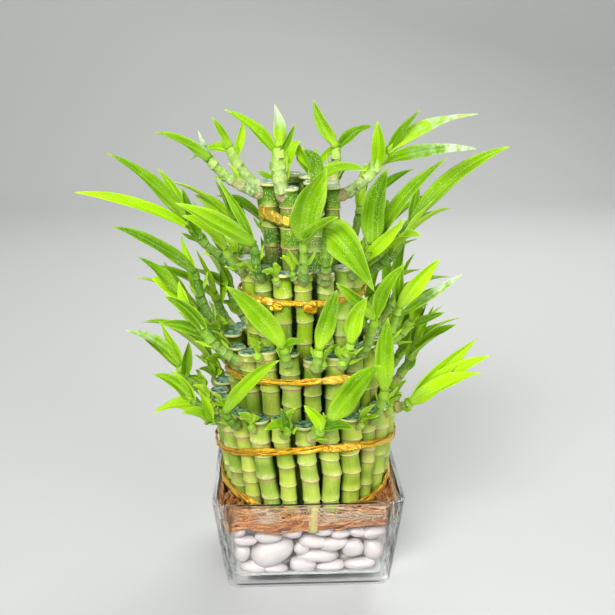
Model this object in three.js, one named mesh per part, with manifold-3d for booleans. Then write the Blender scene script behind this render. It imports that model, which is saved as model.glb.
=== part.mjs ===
// Tiered lucky bamboo standing in a square glass bowl.
// Units are millimetres, +Z is up, the front is -Y, and the origin is the centre of the bowl's underside.
import * as THREE from 'three';
import { mergeVertices } from 'three/addons/utils/BufferGeometryUtils.js';
import Module from 'manifold-3d';

const wasm = await Module();
wasm.setup();

// Bowl: a blown square, narrower at the foot, with a thick clear base.
const BOWL_HEIGHT = 51;
const BOWL_RIM_HALF = 50;
const BOWL_FOOT_HALF = 43.9;
const BOWL_CORNER = 8;
const BOWL_FLOOR = 5.5;
const BOWL_INNER_RIM_HALF = 47.4;
const BOWL_INNER_LOW_HALF = 41.3;
const BOWL_INNER_LOW = 10;
const BOWL_INNER_CORNER = 6;
const RIM_ROUND = 0.8;
const FOOT_BEVEL = 1.6;
const FLOOR_FILLET = 4.2;
const CORNER_STEPS = 3;

// Filling: pebbles on the floor, a pad of matted roots over them, and the stems standing on the pad.
const GAP = 0.3;
const PEBBLE_LAYERS = [10.2, 18.4, 26.7];
const PEBBLES_A_LAYER = 12;
const PEBBLE = { long: [7.6, 10.4], deep: [4.6, 5.8], high: [3.5, 4.3], tilt: [-12, 12], seed: 700 };
const PEBBLE_TOP = 32.8;
const PEBBLE_CORE_INSET = 7;
const ROOT_LEVELS = [33.1, 36, 39, 42.5, 48.5];
const ROOT_SWELL = 0.006;
const ROOT_INSET = 0.9;
const ROOT_PAD_TOP = 40.2;
const STEM_BASE = ROOT_PAD_TOP + GAP;
const ROOT_RECESS = 46.6;

// Tiers of stems, each a ring (the heart is the pair inside the top ring). Radii are from the bowl's
// centre line at the stem's base and at its cut, diameters are over the leaf scars, angles in degrees.
// Scars are looked for above the hidden height, first and segment lengths apart.
const TIERS = {
  heart: { count: 2, baseRing: 3.65, cutRing: 5.4, baseDiameter: 7.0, cutDiameter: 10.2,
    cut: 213, first: 140, turn: 0, hidden: 186, segment: [17, 25] },
  top: { count: 8, baseRing: 12.1, cutRing: 16.5, baseDiameter: 8.6, cutDiameter: 10.8,
    cut: 210, first: -112.5, turn: 0, hidden: 174, segment: [17, 25] },
  second: { count: 16, baseRing: 20.8, cutRing: 29, baseDiameter: 7.8, cutDiameter: 10.6,
    cut: 169, first: -90, turn: 2, hidden: 134, segment: [11, 19] },
  third: { count: 20, baseRing: 29.6, cutRing: 38.3, baseDiameter: 8.9, cutDiameter: 10.8,
    cut: 128, first: -85, turn: 3, hidden: 100, segment: [10, 18] },
  outer: { count: 24, baseRing: 39.6, cutRing: 46.3, baseDiameter: 9.9, cutDiameter: 11.6,
    cut: 96, first: -92, turn: 5, hidden: 54, segment: [8.5, 21] },
};
const TIER_SEED = { heart: 500, top: 100, second: 200, third: 300, outer: 400 };
const CUT_SPREAD = [-2.2, 2.2];
const LEAN = -2;
const LEAN_HEIGHT = 211;
const STEM_SIDES = 6;
const SCAR_STEP = 0.6;
const SCAR_WAIST = 0.93;
const FIRST_SEGMENT = [10, 14];
const WAX_DEPTH = 1;
const WAX_EDGE = 0.96;
const WAX_TOP = 0.84;
const CROWN_HEIGHT = 3;
const CROWN_WIDTH = 4;

// Foil ties: height of the middle, tier that it holds, band height, and where its knots sit in degrees.
const TIES = [
  { name: 'tie_1', tier: 'top', height: 192, band: 2.6, thickness: 1, steps: 20, knots: [-98] },
  { name: 'tie_2', tier: 'second', height: 152, band: 2.2, thickness: 1, steps: 22, knots: [-84] },
  { name: 'tie_3', tier: 'third', height: 113.5, band: 2.2, thickness: 1, steps: 24, knots: [-55, -30] },
  { name: 'tie_4', tier: 'outer', height: 77.5, band: 2.6, thickness: 1, steps: 26, knots: [-78, -62] },
  { name: 'tie_5', tier: 'outer', height: 44.4, band: 2.2, thickness: 0.7, steps: 32, knots: [] },
];
const TIE_SLACK = 0.1;
const KNOT_RADIUS = 1.7;

// Side shoots: thin green stems from just under a cut, then pointed blades.
const SHOOT_DROP = 7;
const SHOOT_SINK = 3;
const SHOOT_BASE_RADIUS = 2.5;
const SHOOT_TIP_RADIUS = 1.5;
const BLADE_THICKNESS = 1.0;
const BLADE_FOLD = 0.16;
const BROAD = 11;
const NARROW = 7.2;
const FINEST_FACE = 0.04;
const CLEARANCE = 0.35;
const SWINGS = [[0, 0], [7, 0], [-7, 0], [0, 7], [0, -7], [12, 5], [-12, 5], [14, -6], [-14, -6],
  [22, 0], [-22, 0], [0, 15], [30, 8], [-30, 8]];

// Shoots placed by hand: the tier and number of the stem, the shoot's tip, then its blades. A blade is
// [place along the shoot, tip x, y, z, width, arch, turn of its face from up (0) to the front (90)].
const PLACED_SHOOTS = [
  { tier: 'top', k: 7, tip: [-49, -6, 223], blades: [[1, -76, -2, 235, 8, 2, 60],
    [0.85, -54, 3, 236, 4, 0, 60]] },
  { tier: 'top', k: 6, tip: [-39, 9, 228], blades: [[1, -47, 5, 242, 6, 0, 80], [0.9, -59, 12, 219, 8, 3, 50],
    [0.8, -31, 14, 240, 6, 1, 70]] },
  { tier: 'top', k: 0, tip: [-12, -17, 231], blades: [[1, -15, -19, 250, 8, 0, 90],
    [0.85, -40, -13, 247, 9, 2, 60],
    [0.9, -5, -24, 241, 5, 0, 80]] },
  { tier: 'top', k: 3, tip: [17, 12, 227], blades: [[1, 5, 13, 250, 8, 1, 80],
    [0.95, 37, 9, 236, 8, 3, 50]] },
  { tier: 'top', k: 2, tip: [42, -8, 226], blades: [[0.95, 89, -4, 243, 9, 3, 50], [1, 58, -9, 246, 6, 0, 60],
    [0.8, 86, -18, 227, 9, 3, 50], [0.75, 36, -13, 241, 10, 1, 80]] },
  { tier: 'top', k: 1, tip: [6, -27, 217], blades: [[1, -2, -30, 229, 8, 1, 80],
    [0.9, 29, -36, 219, 10, 2, 50]] },
  { tier: 'second', k: 0, tip: [-2, -42, 188], blades: [[0.9, 9, -49, 223, 17, 3, 85],
    [1, 14, -57, 201, 10, 2, 40]] },
  { tier: 'second', k: 14, tip: [-26, -34, 185], blades: [[0.9, -63, -42, 206, 12, 3, 55],
    [1, -43, -33, 217, 7, 0, 60]] },
  { tier: 'second', k: 13, tip: [-41, -20, 180], blades: [[1, -61, -27, 197, 9, 2, 50]] },
  { tier: 'second', k: 12, tip: [-62, 2, 191], blades: [[0.95, -101, 0, 225, 10, 3, 60],
    [0.8, -117, -8, 206, 9, 4, 50], [0.9, -77, 17, 215, 8, 1, 50], [0.7, -62, -12, 209, 8, 1, 60]] },
  { tier: 'second', k: 1, tip: [9, -41, 192], blades: [[0.95, 31, -59, 165, 16, 9, 60]] },
  { tier: 'second', k: 2, tip: [32, -31, 184], blades: [[1, 39, -36, 221, 13, 1, 85],
    [0.85, 69, -30, 225, 9, 3, 60], [0.7, 47, -44, 198, 8, 1, 60]] },
  { tier: 'second', k: 4, tip: [56, 0, 189], blades: [[0.95, 106, -4, 227, 10, 4, 60],
    [1, 60, 7, 207, 8, 0, 70]] },
  { tier: 'third', k: 15, tip: [-58, 2, 163], blades: [[0.95, -101, 0, 187, 9, 4, 50],
    [1, -65, 8, 180, 6, 0, 70]] },
  { tier: 'third', k: 16, tip: [-65, -14, 156], blades: [[1, -85, -19, 175, 8, 2, 50],
    [0.8, -80, -8, 161, 12, 3, 60]] },
  { tier: 'third', k: 17, tip: [-55, -30, 144], blades: [[1, -63, -34, 166, 8, 1, 70],
    [0.85, -70, -43, 161, 9, 1, 60], [0.7, -75, -30, 143, 9, 3, 50]] },
  { tier: 'third', k: 19, tip: [-12, -49, 137], blades: [[0.95, -39, -61, 170, 13, 4, 75],
    [1, -1, -60, 142, 7, 1, 30]] },
  { tier: 'third', k: 0, tip: [5, -49, 136], blades: [[1, 13, -59, 167, 11, 3, 85]] },
  { tier: 'third', k: 1, tip: [21, -46, 138], blades: [[1, 28, -54, 162, 11, 2, 80]] },
  { tier: 'third', k: 2, tip: [33, -40, 148], blades: [[0.8, 13, -50, 168, 9, 2, 60],
    [1, 48, -41, 175, 10, 1, 70]] },
  { tier: 'third', k: 3, tip: [47, -26, 150], blades: [[0.95, 67, -28, 174, 11, 3, 80],
    [0.85, 81, -18, 164, 7, 1, 50], [1, 49, -22, 172, 7, 0, 70]] },
  { tier: 'third', k: 4, tip: [57, -10, 138], blades: [[1, 66, -16, 156, 9, 1, 60],
    [0.85, 73, -14, 142, 7, 1, 50]] },
  { tier: 'outer', k: 3, tip: [38, -46, 113], blades: [[0.95, 38, -54, 152, 12, 2, 85]] },
  { tier: 'outer', k: 1, tip: [10, -59, 103], blades: [[0.95, 34, -70, 133, 13, 4, 75]] },
  { tier: 'outer', k: 5, tip: [56, -20, 95], blades: [[0.8, 91, -28, 113, 9, 3, 50],
    [1, 91, -12, 127, 8, 2, 50],
    [0.95, 97, -20, 120, 8, 2, 50]] },
  { tier: 'outer', k: 23, tip: [-11, -58, 97], blades: [[0.9, -22, -67, 100, 8, 1, 40],
    [1, -14, -64, 110, 7, 0, 60]] },
  { tier: 'outer', k: 0, tip: [6, -60, 98], blades: [[0.9, -3, -66, 112, 9, 1, 60],
    [1, 21, -69, 101, 7, 1, 40]] },
  { tier: 'outer', k: 21, tip: [-42, -45, 102], blades: [[0.9, -14, -63, 134, 10, 5, 60]] },
  { tier: 'outer', k: 20, tip: [-51, -32, 93], blades: [[0.9, -64, -41, 99, 11, 2, 50],
    [1, -55, -42, 112, 7, 0, 60]] },
  { tier: 'outer', k: 19, tip: [-62, -15, 96], blades: [[1, -81, -16, 111, 9, 2, 50],
    [0.8, -80, -28, 94, 9, 2, 50], [0.9, -71, -9, 111, 7, 0, 60]] },
  { tier: 'outer', k: 18, tip: [-69, 5, 110], blades: [[1, -97, 2, 130, 9, 2, 50],
    [0.85, -90, 14, 123, 8, 1, 50],
    [0.8, -62, -7, 126, 8, 1, 60], [0.95, -78, 7, 133, 7, 0, 60]] },
];

// Shoots on the sides and back, where they grow by the rule in grownShoot.
const GROWN_SHOOTS = {
  top: [4, 5],
  second: [3, 5, 6, 8, 9, 10, 11],
  third: [6, 7, 8, 9, 11, 12, 13, 14],
  outer: [7, 8, 9, 11, 12, 13, 15, 16],
};

// The ranges that the rule draws from: lengths in millimetres, angles in degrees.
const GROWN = { swerve: [-15, 15], rise: [38, 60], length: [24, 36], spear: [20, 28], spearWidth: 6,
  spearLift: 14, blades: [2, 3], fan: [24, 64], climb: [12, 42], reach: [28, 44], width: [8, 11], arch: 4,
  face: [20, 50], highest: 0.92, spacing: 0.14 };

// The shoots behind the top stay short beside that rule: the photo shows none over the cuts.
const GROWN_SIZE = { top: 0.5, second: 1, third: 1, outer: 1 };

const materials = {
  glass: new THREE.MeshStandardMaterial({
    color: 0xdfe9e6, roughness: 0.04, metalness: 0, transparent: true, opacity: 0.35 }),
  pebble: new THREE.MeshStandardMaterial({ color: 0xece6df, roughness: 0.45, metalness: 0 }),
  root: new THREE.MeshStandardMaterial({ color: 0xa5562b, roughness: 0.8, metalness: 0 }),
  cane: new THREE.MeshStandardMaterial({ color: 0x86a63a, roughness: 0.45, metalness: 0 }),
  upperCane: new THREE.MeshStandardMaterial({ color: 0x5e8f2c, roughness: 0.45, metalness: 0 }),
  foil: new THREE.MeshStandardMaterial({ color: 0xd9971f, roughness: 0.3, metalness: 0.8 }),
};

const plant = new THREE.Group();
const FRONT = new THREE.Vector3(0, -1, 0);

function radians(degrees) {
  return degrees * Math.PI / 180;
}

// A number from 0 to 1 that depends only on its seed.
function draw(seed) {
  const wave = Math.sin(seed * 12.9898) * 43758.5453;
  return wave - Math.floor(wave);
}

function between(range, seed) {
  return range[0] + (range[1] - range[0]) * draw(seed);
}

function point(values) {
  return new THREE.Vector3(values[0], values[1], values[2]);
}

// Skins a stack of rings that all have the same number of points, and closes both ends.
// The diagonals start at the even points, so the two faces of a blade are split alike.
function loft(rings, apex = null) {
  const size = rings[0].length;
  const points = rings.flat();
  const faces = [];
  for (let ring = 0; ring < rings.length - 1; ring += 1) {
    for (let i = 0; i < size; i += 1) {
      const j = (i + 1) % size;
      const a = ring * size + i;
      const b = ring * size + j;
      const even = i % 2 === 0;
      faces.push(even ? [a, b, b + size] : [a, b, a + size]);
      faces.push(even ? [a, b + size, a + size] : [b, b + size, a + size]);
    }
  }
  for (let i = 1; i < size - 1; i += 1) {
    faces.push([0, i + 1, i]);
  }
  const last = (rings.length - 1) * size;
  if (apex) {
    points.push(apex);
    for (let i = 0; i < size; i += 1) {
      faces.push([last + i, last + (i + 1) % size, points.length - 1]);
    }
  } else {
    for (let i = 1; i < size - 1; i += 1) {
      faces.push([last, last + i, last + i + 1]);
    }
  }
  const geometry = new THREE.BufferGeometry().setFromPoints(points);
  geometry.setIndex(faces.flat());
  return facingOut(geometry);
}

function facingOut(geometry) {
  const position = geometry.getAttribute('position');
  const index = geometry.getIndex();
  const corner = [0, 1, 2].map(() => new THREE.Vector3());
  let volume = 0;
  for (let i = 0; i < index.count; i += 3) {
    corner.forEach((vector, n) => vector.fromBufferAttribute(position, index.getX(i + n)));
    volume += corner[0].dot(corner[1].clone().cross(corner[2]));
  }
  if (volume < 0) {
    index.array.reverse();
  }
  return geometry;
}

// A three.js geometry as a solid that can be joined and cut.
function solidFrom(geometry) {
  const bare = geometry.clone();
  bare.deleteAttribute('normal');
  bare.deleteAttribute('uv');
  const merged = mergeVertices(bare, 1e-4);
  const index = merged.getIndex().array;
  const faces = [];
  for (let i = 0; i < index.length; i += 3) {
    const [a, b, c] = [index[i], index[i + 1], index[i + 2]];
    if (a !== b && b !== c && c !== a) {
      faces.push(a, b, c);
    }
  }
  return new wasm.Manifold(new wasm.Mesh({
    numProp: 3,
    vertProperties: new Float32Array(merged.getAttribute('position').array),
    triVerts: new Uint32Array(faces),
  }));
}

function geometryFrom(solid) {
  const mesh = solid.getMesh();
  const geometry = new THREE.BufferGeometry();
  geometry.setAttribute('position', new THREE.BufferAttribute(mesh.vertProperties, 3));
  geometry.setIndex(new THREE.BufferAttribute(mesh.triVerts, 1));
  return geometry;
}

// One solid of several, without the slivers that their crossings leave.
function joined(solids) {
  return solids.reduce((whole, solid) => whole.add(solid)).simplify(FINEST_FACE);
}

function addMesh(name, geometry, material) {
  const mesh = new THREE.Mesh(geometry, material);
  mesh.name = name;
  plant.add(mesh);
}

// A square with round corners, as one ring of points at one height.
function roundedSquare(half, corner, z) {
  const ring = [];
  const middle = half - corner;
  for (let quarter = 0; quarter < 4; quarter += 1) {
    const centre = radians(45 + 90 * quarter);
    for (let step = 0; step <= CORNER_STEPS; step += 1) {
      const angle = radians(90 * quarter + 90 * step / CORNER_STEPS);
      ring.push(new THREE.Vector3(
        Math.sign(Math.cos(centre)) * middle + corner * Math.cos(angle),
        Math.sign(Math.sin(centre)) * middle + corner * Math.sin(angle),
        z,
      ));
    }
  }
  return ring;
}

// Half the width between the bowl's inner walls at a height.
function innerHalf(z) {
  const slope = (BOWL_INNER_RIM_HALF - BOWL_INNER_LOW_HALF) / (BOWL_HEIGHT - BOWL_INNER_LOW);
  return BOWL_INNER_LOW_HALF + slope * (z - BOWL_INNER_LOW);
}

function glassBowl() {
  const inner = BOWL_INNER_CORNER;
  return loft([
    roundedSquare(BOWL_FOOT_HALF - FOOT_BEVEL, BOWL_CORNER - FOOT_BEVEL, 0),
    roundedSquare(BOWL_FOOT_HALF, BOWL_CORNER, FOOT_BEVEL),
    roundedSquare(BOWL_RIM_HALF, BOWL_CORNER, BOWL_HEIGHT - RIM_ROUND),
    roundedSquare(BOWL_RIM_HALF - RIM_ROUND, BOWL_CORNER - RIM_ROUND, BOWL_HEIGHT),
    roundedSquare(BOWL_INNER_RIM_HALF + RIM_ROUND, inner + RIM_ROUND, BOWL_HEIGHT),
    roundedSquare(BOWL_INNER_RIM_HALF, inner, BOWL_HEIGHT - RIM_ROUND),
    roundedSquare(BOWL_INNER_LOW_HALF, inner, BOWL_INNER_LOW),
    roundedSquare(BOWL_INNER_LOW_HALF - 0.4 * FLOOR_FILLET, inner, BOWL_FLOOR + 0.3 * FLOOR_FILLET),
    roundedSquare(BOWL_INNER_LOW_HALF - FLOOR_FILLET, inner, BOWL_FLOOR),
  ]);
}

// The place and heading at a share of the way round a square path with round corners.
function aroundSquare(share, half, corner) {
  const straight = 2 * (half - corner);
  const arc = corner * Math.PI / 2;
  const along = (share - Math.floor(share)) * 4 * (straight + arc);
  const side = Math.floor(along / (straight + arc));
  const rest = along - side * (straight + arc);
  const turn = rest < straight ? 0 : (rest - straight) / corner;
  const x = rest < straight ? rest - straight / 2 : straight / 2 + corner * Math.sin(turn);
  const y = rest < straight ? -half : -half + corner * (1 - Math.cos(turn));
  const spin = new THREE.Matrix4().makeRotationZ(side * Math.PI / 2);
  return { place: new THREE.Vector3(x, y, 0).applyMatrix4(spin), heading: side * Math.PI / 2 + turn, turn };
}

// One smooth pebble of a layer, lying lengthwise along the wall, and shorter where the wall turns.
function pebble(layer, k) {
  const seed = PEBBLE.seed + 40 * layer + k;
  const deep = between(PEBBLE.deep, seed + 0.3);
  const high = between(PEBBLE.high, seed + 0.6);
  const z = PEBBLE_LAYERS[layer] + between([-0.25, 0.25], seed + 0.8);
  const half = innerHalf(z - 0.6 * high) - deep - 0.8;
  const share = (k + 0.5 * (layer % 2) + between([-0.15, 0.15], seed + 0.9)) / PEBBLES_A_LAYER;
  const { place, heading, turn } = aroundSquare(share, half, PEBBLE_CORE_INSET);
  const long = between(PEBBLE.long, seed) * (turn > 0 ? 0.7 : 1);
  const geometry = new THREE.SphereGeometry(1, 6, 3).rotateX(Math.PI / 2);
  geometry.scale(long, deep, high);
  geometry.rotateY(radians(between(PEBBLE.tilt, seed + 0.4)));
  geometry.rotateZ(heading);
  geometry.translate(place.x, place.y, z);
  return solidFrom(geometry);
}

// The bed of pebbles, joined by a filled heart that they stand out of all round.
function pebbles() {
  const core = loft([BOWL_FLOOR + 1, PEBBLE_TOP - 4].map(
    (z) => roundedSquare(innerHalf(z) - PEBBLE_CORE_INSET, BOWL_CORNER, z)));
  const solids = [solidFrom(core)];
  for (let layer = 0; layer < PEBBLE_LAYERS.length; layer += 1) {
    for (let k = 0; k < PEBBLES_A_LAYER; k += 1) {
      solids.push(pebble(layer, k));
    }
  }
  return geometryFrom(joined(solids));
}

// Matted roots: a pad under the stems and a post of roots in each corner of the bowl. The sides are
// raised and sunk by two crossed sine waves.
function rootMat() {
  const rings = ROOT_LEVELS.map((z, level) => {
    const ring = roundedSquare(innerHalf(z) - ROOT_INSET, BOWL_INNER_CORNER, z);
    return ring.map((corner, i) => {
      const swell = 1 + ROOT_SWELL * Math.sin(2.4 * i + 1.9 * level) * Math.sin(2.2 * level + 1);
      return new THREE.Vector3(corner.x * swell, corner.y * swell, z);
    });
  });
  const recess = new THREE.CylinderGeometry(ROOT_RECESS, ROOT_RECESS, BOWL_HEIGHT, 32).rotateX(Math.PI / 2);
  recess.translate(0, 0, ROOT_PAD_TOP + BOWL_HEIGHT / 2);
  return geometryFrom(solidFrom(loft(rings)).subtract(solidFrom(recess)));
}

// How far the whole bundle leans sideways at a height.
function leanAt(z) {
  return LEAN * (z - STEM_BASE) / (LEAN_HEIGHT - STEM_BASE);
}

// Where one stem stands, where it is cut, how thick it is, and the heights of its leaf scars.
function stemShape(tierName, k) {
  const tier = TIERS[tierName];
  const seed = TIER_SEED[tierName] + k;
  const cut = tier.cut + between(CUT_SPREAD, seed);
  const angle = radians(tier.first + 360 * k / tier.count);
  const footAngle = angle + radians(tier.turn);
  const foot = new THREE.Vector3(
    tier.baseRing * Math.cos(footAngle), tier.baseRing * Math.sin(footAngle), STEM_BASE);
  const head = new THREE.Vector3(
    tier.cutRing * Math.cos(angle) + leanAt(cut), tier.cutRing * Math.sin(angle), cut);
  const scars = [];
  let z = cut - between(FIRST_SEGMENT, seed + 0.5);
  while (z > tier.hidden) {
    scars.unshift(z);
    z -= between(tier.segment, seed + 0.1 * scars.length);
  }
  return { foot, head, angle, scars, baseRadius: tier.baseDiameter / 2, cutRadius: tier.cutDiameter / 2 };
}

function stemRadius(shape, z) {
  const share = (z - shape.foot.z) / (shape.head.z - shape.foot.z);
  return shape.baseRadius + share * (shape.cutRadius - shape.baseRadius);
}

function stemAxis(shape, z) {
  const share = (z - shape.foot.z) / (shape.head.z - shape.foot.z);
  return shape.foot.clone().lerp(shape.head, share);
}

// A cut stem: each segment is widest at the scar below it and slimmest just under the next one,
// and the cut end is sealed with a rounded cap of wax.
function stem(shape) {
  const length = shape.head.z - shape.foot.z;
  const profile = [[0, 0], [shape.baseRadius * 0.97, 0]];
  for (const z of shape.scars) {
    const radius = stemRadius(shape, z);
    profile.push([radius * SCAR_WAIST, z - SCAR_STEP - shape.foot.z]);
    profile.push([radius, z - shape.foot.z]);
  }
  profile.push([shape.cutRadius * WAX_EDGE, length - WAX_DEPTH]);
  profile.push([shape.cutRadius * WAX_TOP, length]);
  profile.push([0, length]);
  const outline = profile.map(([radius, height]) => new THREE.Vector2(radius, height));
  const geometry = new THREE.LatheGeometry(outline, STEM_SIDES).rotateX(Math.PI / 2);
  const shear = new THREE.Matrix4().makeShear(
    0, 0, 0, 0, (shape.head.x - shape.foot.x) / length, (shape.head.y - shape.foot.y) / length);
  geometry.applyMatrix4(shear);
  geometry.translate(shape.foot.x, shape.foot.y, shape.foot.z);
  return solidFrom(geometry);
}

// Two neighbours that rooted together share a crown between their feet.
function crown(first, second) {
  const middle = first.foot.clone().add(second.foot).multiplyScalar(0.5);
  const span = first.foot.distanceTo(second.foot);
  const geometry = new THREE.BoxGeometry(span, CROWN_WIDTH, CROWN_HEIGHT);
  geometry.rotateZ(Math.atan2(second.foot.y - first.foot.y, second.foot.x - first.foot.x));
  geometry.translate(middle.x, middle.y, STEM_BASE + CROWN_HEIGHT / 2);
  return solidFrom(geometry);
}

function bezier(start, bend, end, t) {
  const near = start.clone().lerp(bend, t);
  return near.lerp(bend.clone().lerp(end, t), t);
}

// The line of a shoot: out of the stem's side, then curving up to its tip.
function shootLine(shape, outward, tip) {
  const z = shape.head.z - SHOOT_DROP;
  const start = stemAxis(shape, z).addScaledVector(outward, stemRadius(shape, z) - SHOOT_SINK);
  const length = start.distanceTo(tip);
  const bend = start.clone().lerp(tip, 0.5).addScaledVector(outward, 0.14 * length);
  bend.z -= 0.12 * length;
  return { start, bend, end: tip };
}

// A four-sided ring round a curve: half is its reach to each side, thick its reach up and down, and
// lift raises its two sides. Its upper side looks towards facing.
function crossRing(curve, t, facing, half, thick, lift) {
  const centre = bezier(curve.start, curve.bend, curve.end, t);
  const ahead = bezier(curve.start, curve.bend, curve.end, t + 0.01).sub(centre).normalize();
  const side = ahead.clone().cross(facing).normalize();
  const normal = side.clone().cross(ahead);
  return [
    centre.clone().addScaledVector(side, -half).addScaledVector(normal, lift),
    centre.clone().addScaledVector(normal, thick),
    centre.clone().addScaledVector(side, half).addScaledVector(normal, lift),
    centre.clone().addScaledVector(normal, -thick),
  ];
}

function shootRings(line, facing, grow) {
  return [0, 0.5, 1].map((t) => {
    const radius = SHOOT_BASE_RADIUS + (SHOOT_TIP_RADIUS - SHOOT_BASE_RADIUS) * t + grow;
    return crossRing(line, t, facing, radius, radius, 0);
  });
}

// A blade's width along its length, as a share of its full width: narrow at the sheath, widest
// before the middle, and drawn out to a point.
function bladeWidth(t) {
  return (0.28 + 1.75 * t ** 0.8) * (1 - t ** 2.2) / 1.16;
}

// Where a blade has its rings: the broader the blade, the more it has.
function bladeStations(width) {
  if (width > BROAD) {
    return [0, 0.2, 0.48, 0.78];
  }
  return width > NARROW ? [0, 0.3, 0.7] : [0, 0.4];
}

// The rings of a pointed blade from root to tip. Its midrib is a quadratic curve lifted by the arch, and
// its two halves fold up from the midrib.
function bladeRings(root, tip, { width, arch, facing }, grow) {
  const bend = root.clone().lerp(tip, 0.5);
  bend.z += 2 * arch;
  return bladeStations(width).map((t) => {
    const wide = width * bladeWidth(t);
    return crossRing({ start: root, bend, end: tip }, t, facing,
      wide / 2 + grow, BLADE_THICKNESS / 2 + grow, BLADE_FOLD * wide);
  });
}

function blade(root, tip, form, grow) {
  return solidFrom(loft(bladeRings(root, tip, form, grow), tip));
}

// Turns a tip about its root: first round the vertical, then up or down.
function swung(root, tip, [turn, rise]) {
  const reach = tip.clone().sub(root);
  const level = new THREE.Vector3(-reach.y, reach.x, 0).normalize();
  reach.applyAxisAngle(level, -radians(rise));
  reach.applyAxisAngle(new THREE.Vector3(0, 0, 1), radians(turn));
  return root.clone().add(reach);
}

function climbing(angle, climb, distance) {
  const level = distance * Math.cos(climb);
  return new THREE.Vector3(level * Math.cos(angle), level * Math.sin(angle), distance * Math.sin(climb));
}

// A shoot on the side or back: it grows outward and up, ends in a spear, and has two or three blades.
function grownShoot(tierName, k) {
  const seed = TIER_SEED[tierName] + k + 31;
  const size = GROWN_SIZE[tierName];
  const shape = stemShape(tierName, k);
  const heading = shape.angle + radians(between(GROWN.swerve, seed));
  const rise = radians(between(GROWN.rise, seed + 0.1));
  const start = stemAxis(shape, shape.head.z - SHOOT_DROP);
  const tip = start.clone().add(climbing(heading, rise, size * between(GROWN.length, seed + 0.2)));
  const spear = tip.clone().add(
    climbing(heading, rise + radians(GROWN.spearLift), size * between(GROWN.spear, seed + 0.3)));
  const blades = [[1, ...spear, GROWN.spearWidth, 0, GROWN.face[1]]];
  const count = Math.round(between(GROWN.blades, seed + 0.4));
  for (let i = 0; i < count; i += 1) {
    const turn = heading + (i % 2 === 0 ? 1 : -1) * radians(between(GROWN.fan, seed + 0.5 + i));
    const climb = radians(between(GROWN.climb, seed + 0.6 + i));
    const reach = size * between(GROWN.reach, seed + 0.7 + i);
    const end = start.clone().lerp(tip, 0.9).add(climbing(turn, climb, reach));
    const width = size ** 0.5 * between(GROWN.width, seed + 0.8 + i);
    const face = between(GROWN.face, seed + 0.9 + i);
    blades.push([GROWN.highest - GROWN.spacing * i, ...end, width, GROWN.arch, face]);
  }
  return { tier: tierName, k, tip: [...tip], blades, front: climbing(heading + Math.PI, 0, 1) };
}

// Every solid so far, with its node, so that a new blade can be tried against its neighbours.
const nodes = new Map();

function addPart(nodeName, solid) {
  if (!nodes.has(nodeName)) {
    nodes.set(nodeName, []);
  }
  nodes.get(nodeName).push({ solid, box: solid.boundingBox() });
}

function isClear(nodeName, trial) {
  const box = trial.boundingBox();
  for (const [otherName, parts] of nodes) {
    if (otherName === nodeName) {
      continue;
    }
    for (const part of parts) {
      const apart = [0, 1, 2].some((axis) => box.min[axis] > part.box.max[axis]
        || box.max[axis] < part.box.min[axis]);
      if (!apart && !trial.intersect(part.solid).isEmpty()) {
        return false;
      }
    }
  }
  return true;
}

// The first small swing of a tip that leaves the piece clear of every other node, or null.
function clearTip(nodeName, root, tip, build) {
  for (const swing of SWINGS) {
    const moved = swung(root, tip, swing);
    if (isClear(nodeName, build(moved, CLEARANCE))) {
      return moved;
    }
  }
  return null;
}

// Grows one shoot on its stem. Its first blade carries on from its tip, the others leave its side.
function growShoot(shoot) {
  const shape = stemShape(shoot.tier, shoot.k);
  const nodeName = nodeNameOf(shoot.tier, shoot.k);
  const outward = point(shoot.tip).sub(shape.head).setZ(0).normalize();
  const root = stemAxis(shape, shape.head.z - SHOOT_DROP);
  const forms = shoot.blades.map(([place, x, y, z, width, arch, turn]) => {
    const facing = new THREE.Vector3(0, 0, Math.cos(radians(turn)))
      .addScaledVector(shoot.front ?? FRONT, Math.sin(radians(turn)));
    return { place, aim: point([x, y, z]), width, arch, facing };
  });
  const [last, ...others] = forms;
  const tip = clearTip(nodeName, root, point(shoot.tip),
    (end, grow) => solidFrom(loft(shootRings(shootLine(shape, outward, end), last.facing, grow))));
  if (!tip) {
    return;
  }
  const line = shootLine(shape, outward, tip);
  const shift = tip.clone().sub(point(shoot.tip));
  const lastTip = clearTip(nodeName, tip, last.aim.add(shift), (to, grow) => blade(tip, to, last, grow));
  const rings = shootRings(line, last.facing, 0);
  if (lastTip) {
    rings.push(...bladeRings(tip, lastTip, last, 0).slice(1));
  }
  addPart(nodeName, solidFrom(loft(rings, lastTip)));
  for (const form of others) {
    const foot = bezier(line.start, line.bend, line.end, form.place);
    const end = clearTip(nodeName, foot, form.aim.add(shift), (to, grow) => blade(foot, to, form, grow));
    if (end) {
      addPart(nodeName, blade(foot, end, form, 0));
    }
  }
}

// The second and third tiers stand in pairs that rooted together; the others are single stems.
function nodeNameOf(tierName, k) {
  if (tierName === 'heart') {
    return `top_stem_${TIERS.top.count + k + 1}`;
  }
  const paired = tierName === 'second' || tierName === 'third';
  return paired ? `${tierName}_stems_${Math.floor(k / 2) + 1}` : `${tierName}_stem_${k + 1}`;
}

function addStems() {
  for (const [tierName, tier] of Object.entries(TIERS)) {
    for (let k = 0; k < tier.count; k += 1) {
      const shape = stemShape(tierName, k);
      const nodeName = nodeNameOf(tierName, k);
      if (nodes.has(nodeName)) {
        addPart(nodeName, crown(stemShape(tierName, k - 1), shape));
      }
      addPart(nodeName, stem(shape));
    }
  }
}

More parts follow.
